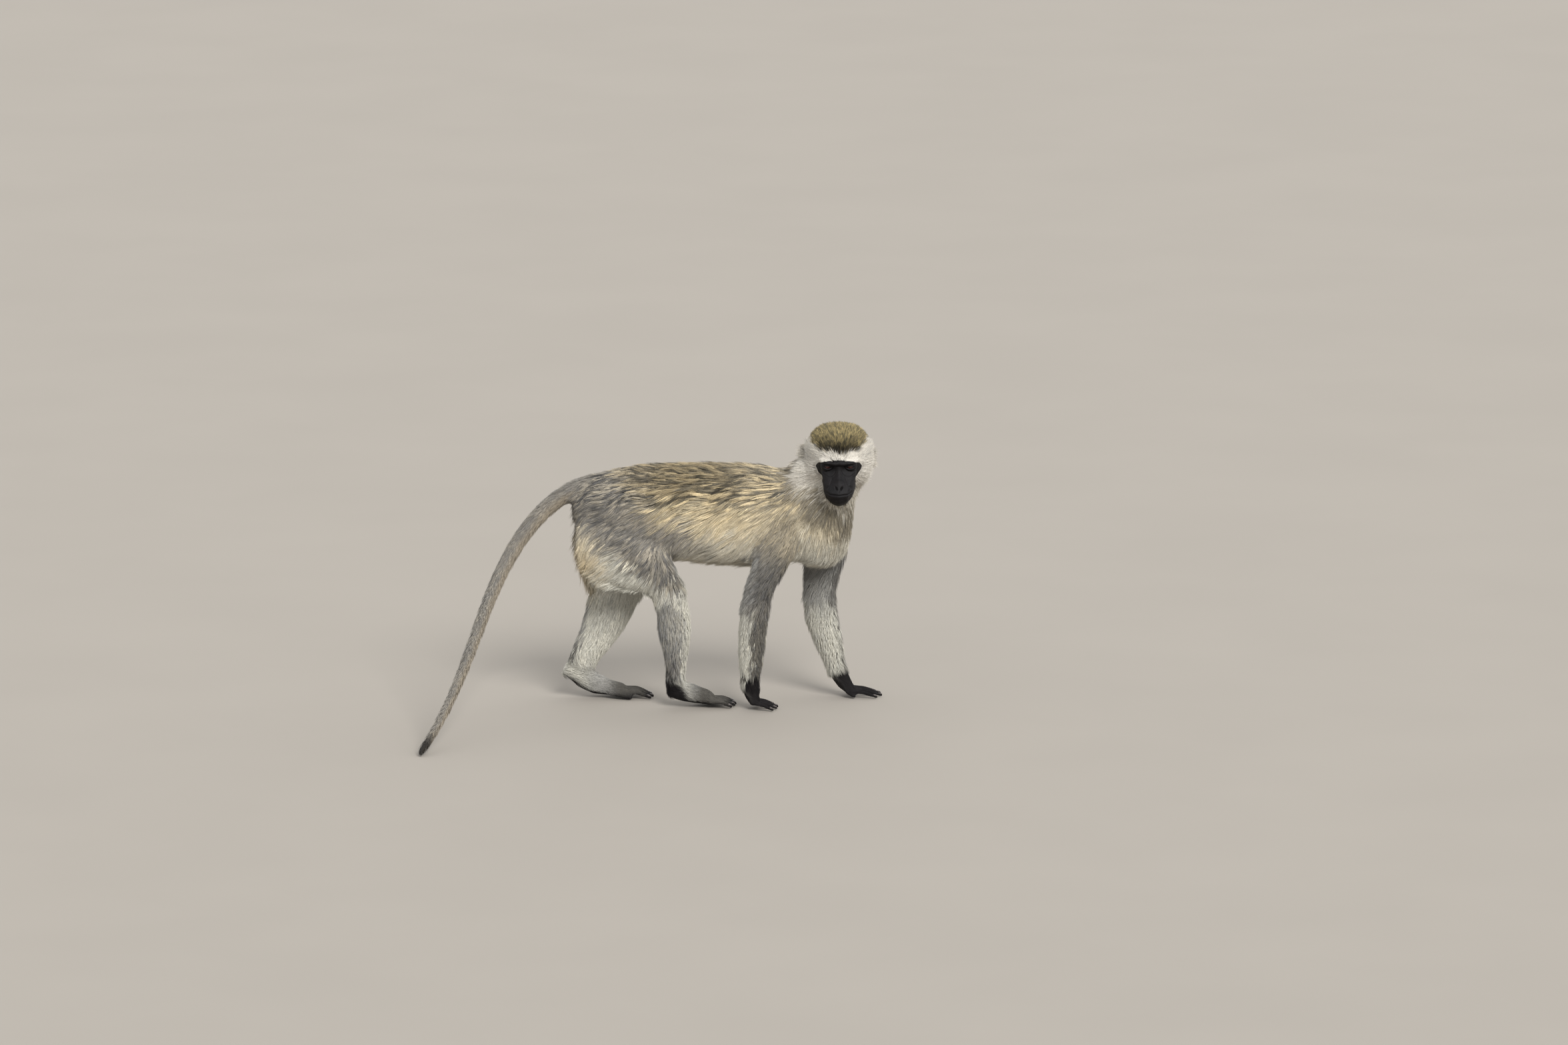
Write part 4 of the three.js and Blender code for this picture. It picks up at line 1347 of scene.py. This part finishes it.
def bristle_tree(material):
    """Stiff hairs set out over a patch of skin, each along the patch's "lie"."""
    tree = bpy.data.node_groups.new("bristles", "GeometryNodeTree")
    sockets = {}
    for name, kind in (("Patch", "Geometry"), ("Per square metre", "Float"), ("Length", "Float"),
                       ("Thickness", "Float"), ("Seed", "Int")):
        made = tree.interface.new_socket(name, in_out="INPUT", socket_type=f"NodeSocket{kind}")
        sockets[name] = made.identifier
    tree.interface.new_socket("Bristles", in_out="OUTPUT", socket_type="NodeSocketGeometry")

    add = partial(add_node, tree)
    given = add("NodeGroupInput").outputs
    lie = add("GeometryNodeInputNamedAttribute", {"data_type": "FLOAT_VECTOR"}, {"Name": "lie"})
    spots = add("GeometryNodeDistributePointsOnFaces", {"distribute_method": "RANDOM"},
                {"Mesh": given["Patch"], "Density": given["Per square metre"], "Seed": given["Seed"]})
    turn = add("FunctionNodeAlignRotationToVector", {"axis": "Z"}, {"Vector": lie.outputs["Attribute"]})
    size = add("FunctionNodeRandomValue", {"data_type": "FLOAT"},
               {"Min": 0.6, "Max": 1.2, "Seed": given["Seed"]})
    hair = add("GeometryNodeMeshCone", {"fill_type": "NGON"},
               {"Vertices": 4, "Side Segments": 2, "Radius Top": 0.0,
                "Radius Bottom": given["Thickness"], "Depth": given["Length"]})
    placed = add("GeometryNodeInstanceOnPoints", None,
                 {"Points": spots.outputs["Points"], "Instance": hair.outputs["Mesh"],
                  "Rotation": turn.outputs["Rotation"], "Scale": size.outputs["Value"]})
    real = add("GeometryNodeRealizeInstances", None, {"Geometry": placed.outputs["Instances"]})
    dyed = add("GeometryNodeSetMaterial", None,
               {"Geometry": real.outputs["Geometry"], "Material": material})
    add("NodeGroupOutput", None, {"Bristles": dyed.outputs["Geometry"]})
    return tree, sockets


def skin_patch(inside, lift):
    """The faces of the skin inside a zone, with the lie of the hair at each point."""
    chosen = body.triangles[inside(body.points[body.triangles].mean(1))]
    used, faces = np.unique(chosen, return_inverse=True)
    normal, flow = body.normals[used], body.flow[used]
    patch = mesh_object("patch", body.points[used] - 0.4 * normal, faces.reshape(-1, 3))
    lie = unit(flow * math.cos(lift) + normal * math.sin(lift))
    keep(patch.data, "lie", lie)
    return patch


def in_brow(p):
    s, f, u = on_head(p)
    return (np.abs(s) < 8) & (u > 8) & (u < 20) & (f > 22)


def in_muzzle(p):
    s, f, u = on_head(p)
    off_nose = np.hypot(s, 0.6 * (u + 24)) > 9
    return (u < -20) & (u > -50) & (f > 30) & off_nose & (bare_face(p) > 0.8)


# Name, zone, angle off the skin in degrees, share of the full number and of the full length.
BRISTLES = ("brow", in_brow, 25, 1.0, 1.3), ("muzzle", in_muzzle, 40, 0.16, 0.55)


# ---- settings --------------------------------------------------------------------------------

def number(label, about, default, low, high, **more):
    return FloatProperty(name=label, description=about, default=default, min=low, max=high, **more)


def distance(label, about, default, low, high):
    return number(label, about, default, low, high, subtype="DISTANCE", unit="LENGTH")


def angle(label, about, degrees, low, high):
    values = [math.radians(v) for v in (degrees, low, high)]
    return number(label, about, *values, subtype="ANGLE", unit="ROTATION")


def colour(label, about, default):
    return FloatVectorProperty(
        name=label, description=about, subtype="COLOR_GAMMA", size=3, min=0, max=1, default=default)


class MonkeySkinSettings(bpy.types.PropertyGroup):
    grain: number("Grain", "Facet size of the skin, in mm", 1.6, 1.2, 4)
    fine_reach: number("Fine reach", "Finely divided zone round each eye, in mm", 12.5, 8, 16)


class MonkeyEyeSettings(bpy.types.PropertyGroup):
    iris: colour("Iris", "Colour of the iris", (0.21, 0.075, 0.06))
    cornea: number("Cornea", "Height of the cornea's bulge, in mm", 0.75, 0, 2)
    gaze: angle("Gaze", "How far up the eyes look", 10, -30, 30)


class MonkeyBristleSettings(bpy.types.PropertyGroup):
    amount: number("Bristles", "Bristles per square metre of skin", 260000, 0, 1000000)
    length: distance("Bristle length", "Length of a bristle", 0.008, 0.001, 0.03)
    thickness: distance("Bristle thickness", "Radius of a bristle at its root", 0.0002, 0.00005, 0.001)
    dark: colour("Bristle colour", "Colour of the dark bristles", (0.07, 0.06, 0.055))


class MonkeyStageSettings(bpy.types.PropertyGroup):
    floor: colour("Floor", "Colour of the floor", (0.55, 0.525, 0.49))
    sun: number("Key light", "Strength of the soft key light", 3.5, 0, 20)
    sky: number("Surround light", "Strength of the light from all round", 1.15, 0, 5)
    elevation: angle("Camera height", "Angle of the camera above the horizon", 12, 0, 89)
    width: distance("View width", "Width of the view at the monkey", 2.164, 0.2, 10)
    distance: distance("Camera distance", "From the camera to the monkey", 15, 1, 50)


def coat_properties():
    made = {key: colour(label, f"{label}, as seen", value) for key, (label, value) in COLOURS.items()}
    made["density"] = number("Density", "Share of the full number of tufts", 1.0, 0.05, 1)
    made["length"] = number("Length", "Factor on the length of the hair", 1.0, 0.2, 2)
    made["width"] = number("Tuft width", "Factor on the width of a tuft", 1.0, 0.2, 3)
    made["contrast"] = number("Grizzle", "Contrast between light and dark tufts", 0.42, 0, 2)
    made["lock"] = number("Tufts in a lock", "How many tufts draw together", 11, 2, 80)
    return made


MonkeyCoatSettings = type(
    "MonkeyCoatSettings", (bpy.types.PropertyGroup,), {"__annotations__": coat_properties()})


# ---- operators --------------------------------------------------------------------------------

FLOOR_REACH = 120.0     # from the middle of the floor to its edges, in metres
AIM_FROM_HEAD = np.array([-75.3, 22.0, -100.0])     # what the camera looks at, in mm
SENSOR = 36             # width of the camera's sensor, in mm
SKY = (0.93, 0.96, 1.0, 1.0)                        # colour of the surround
# Name, share of the key light's strength, apparent size and turn about x, y and z in degrees.
LIGHTS = ("key", 1.0, 26, (50, 0, 24)), ("fill", 0.3, 90, (60, 0, 150))


def floor_finish(settings):
    """Plain pale floor with a hint of unevenness in its tone."""
    fin = Finish("stage_floor", roughness=0.9, specular_ior_level=0.1)
    tone = fin.noise(3.0, 2.0).between(0.2, 0.8)
    colour = linear(settings.floor)
    fin.set("Base Color", fin.blend(tone, rgba(colour * 0.985), rgba(colour * 1.015)))
    return fin.material


def make_camera(settings):
    """The camera, in front of the monkey's right side."""
    aim = Vector((HEAD_CENTRE + AIM_FROM_HEAD) * MM)
    tilt = settings.elevation
    back = Vector((0, -math.cos(tilt), math.sin(tilt)))
    lens = bpy.data.cameras.new("camera")
    lens.sensor_width = SENSOR
    lens.lens = SENSOR * settings.distance / settings.width
    lens.clip_start, lens.clip_end = 0.1, 400
    camera = linked("camera", lens)
    camera.location = aim + back * settings.distance
    camera.rotation_mode = "QUATERNION"
    camera.rotation_quaternion = (-back).to_track_quat("-Z", "Y")
    return camera


def make_light(settings):
    """Soft suns and an even surround."""
    for name, share, angle, turn in LIGHTS:
        sun = bpy.data.lights.new(name, "SUN")
        sun.energy = settings.sun * share
        sun.angle = math.radians(angle)
        linked(name, sun).rotation_euler = [math.radians(t) for t in turn]
    world = bpy.data.worlds.new("surround")
    world.use_nodes = True
    ground = world.node_tree.nodes["Background"]
    ground.inputs["Color"].default_value = SKY
    ground.inputs["Strength"].default_value = settings.sky
    return world


class MONKEY_OT_stage(bpy.types.Operator):
    """Plain pale floor, soft light and the camera"""
    bl_idname = "monkey.stage"
    bl_label = "Stage"

    def execute(self, context):
        settings = context.scene.monkey_stage
        corners = np.array([(-1, -1, 0), (1, -1, 0), (1, 1, 0), (-1, 1, 0)]) * FLOOR_REACH / MM
        floor = mesh_object("stage_floor", corners, [(0, 1, 2, 3)])
        floor.data.materials.append(floor_finish(settings))
        context.scene.camera = make_camera(settings)
        context.scene.world = make_light(settings)
        context.scene.view_settings.view_transform = "Standard"
        return {"FINISHED"}


class MONKEY_OT_skin(bpy.types.Operator):
    """The one skin under the coat, with the bare face, hands and feet"""
    bl_idname = "monkey.skin"
    bl_label = "Skin"

    def execute(self, context):
        skin = shape_skin(context.scene.monkey_skin)
        know_body(skin)
        skin.data.shade_smooth()
        skin.data.materials.clear()
        skin.data.materials.append(skin_finish())
        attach(skin, "root")
        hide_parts(*FLESH)
        return {"FINISHED"}


class MONKEY_OT_eyes(bpy.types.Operator):
    """Both eyes"""
    bl_idname = "monkey.eyes"
    bl_label = "Eyes"

    def execute(self, context):
        material = eye_finish(context.scene.monkey_eye)
        for name in SIDES:
            make_eye(name, context.scene.monkey_eye, material)
        return {"FINISHED"}


class MONKEY_OT_nails(bpy.types.Operator):
    """The nails of hands and feet"""
    bl_idname = "monkey.nails"
    bl_label = "Nails"

    def execute(self, context):
        tips = [tip for limb in ("hand", "foot") for s in SIDES for tip in digit_tips(f"{limb}_{s}")]
        if len(tips) < 12:
            raise RuntimeError(f"only {len(tips)} digits were found")
        nails = mesh_object("nails", *nail_mesh(tips))
        me = nails.data
        bm = bmesh.new()
        bm.from_mesh(me)
        bmesh.ops.recalc_face_normals(bm, faces=bm.faces)
        bm.to_mesh(me)
        bm.free()
        me.shade_smooth()
        me.materials.append(nail_finish())
        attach(nails, "root")
        return {"FINISHED"}


class MONKEY_OT_bristles(bpy.types.Operator):
    """Dark bristles in the middle of the brow and sparse ones on the muzzle"""
    bl_idname = "monkey.bristles"
    bl_label = "Bristles"

    def execute(self, context):
        settings = context.scene.monkey_bristle
        colour = rgba(linear(settings.dark))
        fin = Finish("monkey_bristle", roughness=0.6, specular_ior_level=0.1, base_color=colour)
        tree, sockets = bristle_tree(fin.material)

        for name, zone, lift, share, size in BRISTLES:
            ob = skin_patch(zone, math.radians(lift))
            grown = ob.modifiers.new("bristles", "NODES")
            grown.node_group = tree
            values = {"Per square metre": settings.amount * share, "Length": settings.length * size,
                      "Thickness": settings.thickness, "Seed": 7}
            for key, value in values.items():
                grown[sockets[key]] = value
            applied(ob)
            if len(ob.data.polygons) < 100:
                raise RuntimeError(f"no bristles grew on the {name}")
            ob.name = f"bristles_{name}"
            ob.data.shade_smooth()
            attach(ob, "root")
        return {"FINISHED"}


def coat_pieces(group):
    """Name, slot, seed, number of tufts, solids covered, line it is laid out along, stretch."""
    trunk = Line(np.array([[TRUNK_FRONT + 30, MIDLINE, 280.0], [TRUNK_REAR - 10, MIDLINE, 280.0]]))
    skull = Line(np.array([HEAD_CENTRE + 60 * HEAD_U, HEAD_CENTRE - 70 * HEAD_U]))
    level, upright, even = np.array([0.3, 1, 1]), np.array([1, 1, 0.35]), np.ones(3)
    if group == "head":
        nodes = ["head", "face", *EARS]
        yield "coat_cap", "coat_olive", 101, 17500, nodes, skull, even
        yield "coat_ruff", "coat_pale", 113, 30500, nodes, skull, even
        yield "coat_neck", "coat_pale", 102, 21000, ["neck"], trunk, even
    elif group == "trunk":
        yield "coat_chest", "coat_olive", 103, 31500, ["chest"], trunk, level
        yield "coat_belly", "coat_olive", 104, 28500, ["belly"], trunk, level
        yield "coat_rump", "coat_grey", 105, 23000, ["rump"], trunk, level
    elif group == "tail":
        yield "coat_tail", "coat_grey", 112, 11500, TAIL, TAIL_LINE, even
    for i, s in enumerate(SIDES):
        if group == "arms":
            nodes = [f"upper_arm_{s}", f"forearm_{s}", f"hand_{s}"]
            yield f"coat_arm_{s}", "coat_grey", 106 + i, 15500, nodes, ARM[s], upright
        elif group == "legs":
            yield f"coat_thigh_{s}", "coat_grey", 108 + i, 15500, [f"thigh_{s}"], THIGH[s], even
            nodes = [f"shank_{s}", f"foot_{s}"]
            yield f"coat_shank_{s}", "coat_grey", 110 + i, 12000, nodes, SHANK[s], upright


def coat_group(group):
    """Grows the pieces of the coat that belong together."""
    winner = body.weights.argmax(1)
    for name, slot, seed, count, nodes, line, stretch in coat_pieces(group):
        share = {"coat_cap": body.cap, "coat_ruff": 1 - body.cap}.get(name, 1.0)
        where = np.isin(winner, [FLESH.index(n) for n in nodes]) * share
        grow_coat(name, slot, seed, count, where, line, stretch)


class MONKEY_OT_coat_head(bpy.types.Operator):
    """Cap, brow, ruff and neck"""
    bl_idname = "monkey.coat_head"
    bl_label = "Coat of the head"

    def execute(self, context):
        coat_group("head")
        return {"FINISHED"}


class MONKEY_OT_coat_trunk(bpy.types.Operator):
    """Back, flanks, chest and belly"""
    bl_idname = "monkey.coat_trunk"
    bl_label = "Coat of the trunk"

    def execute(self, context):
        coat_group("trunk")
        return {"FINISHED"}


class MONKEY_OT_coat_arms(bpy.types.Operator):
    """Both arms"""
    bl_idname = "monkey.coat_arms"
    bl_label = "Coat of the arms"

    def execute(self, context):
        coat_group("arms")
        return {"FINISHED"}


class MONKEY_OT_coat_legs(bpy.types.Operator):
    """Both legs"""
    bl_idname = "monkey.coat_legs"
    bl_label = "Coat of the legs"

    def execute(self, context):
        coat_group("legs")
        return {"FINISHED"}


class MONKEY_OT_coat_tail(bpy.types.Operator):
    """The tail with its dark tip"""
    bl_idname = "monkey.coat_tail"
    bl_label = "Coat of the tail"

    def execute(self, context):
        coat_group("tail")
        return {"FINISHED"}


OPERATORS = (
    MONKEY_OT_stage, MONKEY_OT_skin, MONKEY_OT_eyes, MONKEY_OT_nails, MONKEY_OT_bristles,
    MONKEY_OT_coat_head, MONKEY_OT_coat_trunk, MONKEY_OT_coat_arms, MONKEY_OT_coat_legs,
    MONKEY_OT_coat_tail,
)
SETTINGS = {
    "monkey_skin": MonkeySkinSettings,
    "monkey_eye": MonkeyEyeSettings,
    "monkey_bristle": MonkeyBristleSettings,
    "monkey_stage": MonkeyStageSettings,
    "monkey_coat": MonkeyCoatSettings,
}


class MONKEY_PT_panel(bpy.types.Panel):
    """Settings and steps of the monkey"""
    bl_idname = "MONKEY_PT_panel"
    bl_label = "Vervet Monkey"
    bl_space_type = "VIEW_3D"
    bl_region_type = "UI"
    bl_category = "Monkey"

    def draw(self, context):
        for operator in OPERATORS:
            self.layout.operator(operator.bl_idname)
        for key, group in SETTINGS.items():
            for name in group.__annotations__:
                self.layout.prop(getattr(context.scene, key), name)


def register():
    for group in SETTINGS.values():
        bpy.utils.register_class(group)
    for key, group in SETTINGS.items():
        setattr(bpy.types.Scene, key, PointerProperty(type=group))
    for operator in (*OPERATORS, MONKEY_PT_panel):
        bpy.utils.register_class(operator)


def unregister():
    for operator in reversed((*OPERATORS, MONKEY_PT_panel)):
        bpy.utils.unregister_class(operator)
    for key in SETTINGS:
        delattr(bpy.types.Scene, key)
    for group in SETTINGS.values():
        bpy.utils.unregister_class(group)


def main():
    register()
    for operator in OPERATORS:
        section, name = operator.bl_idname.split(".")
        getattr(getattr(bpy.ops, section), name)()


if __name__ == "__main__":
    main()
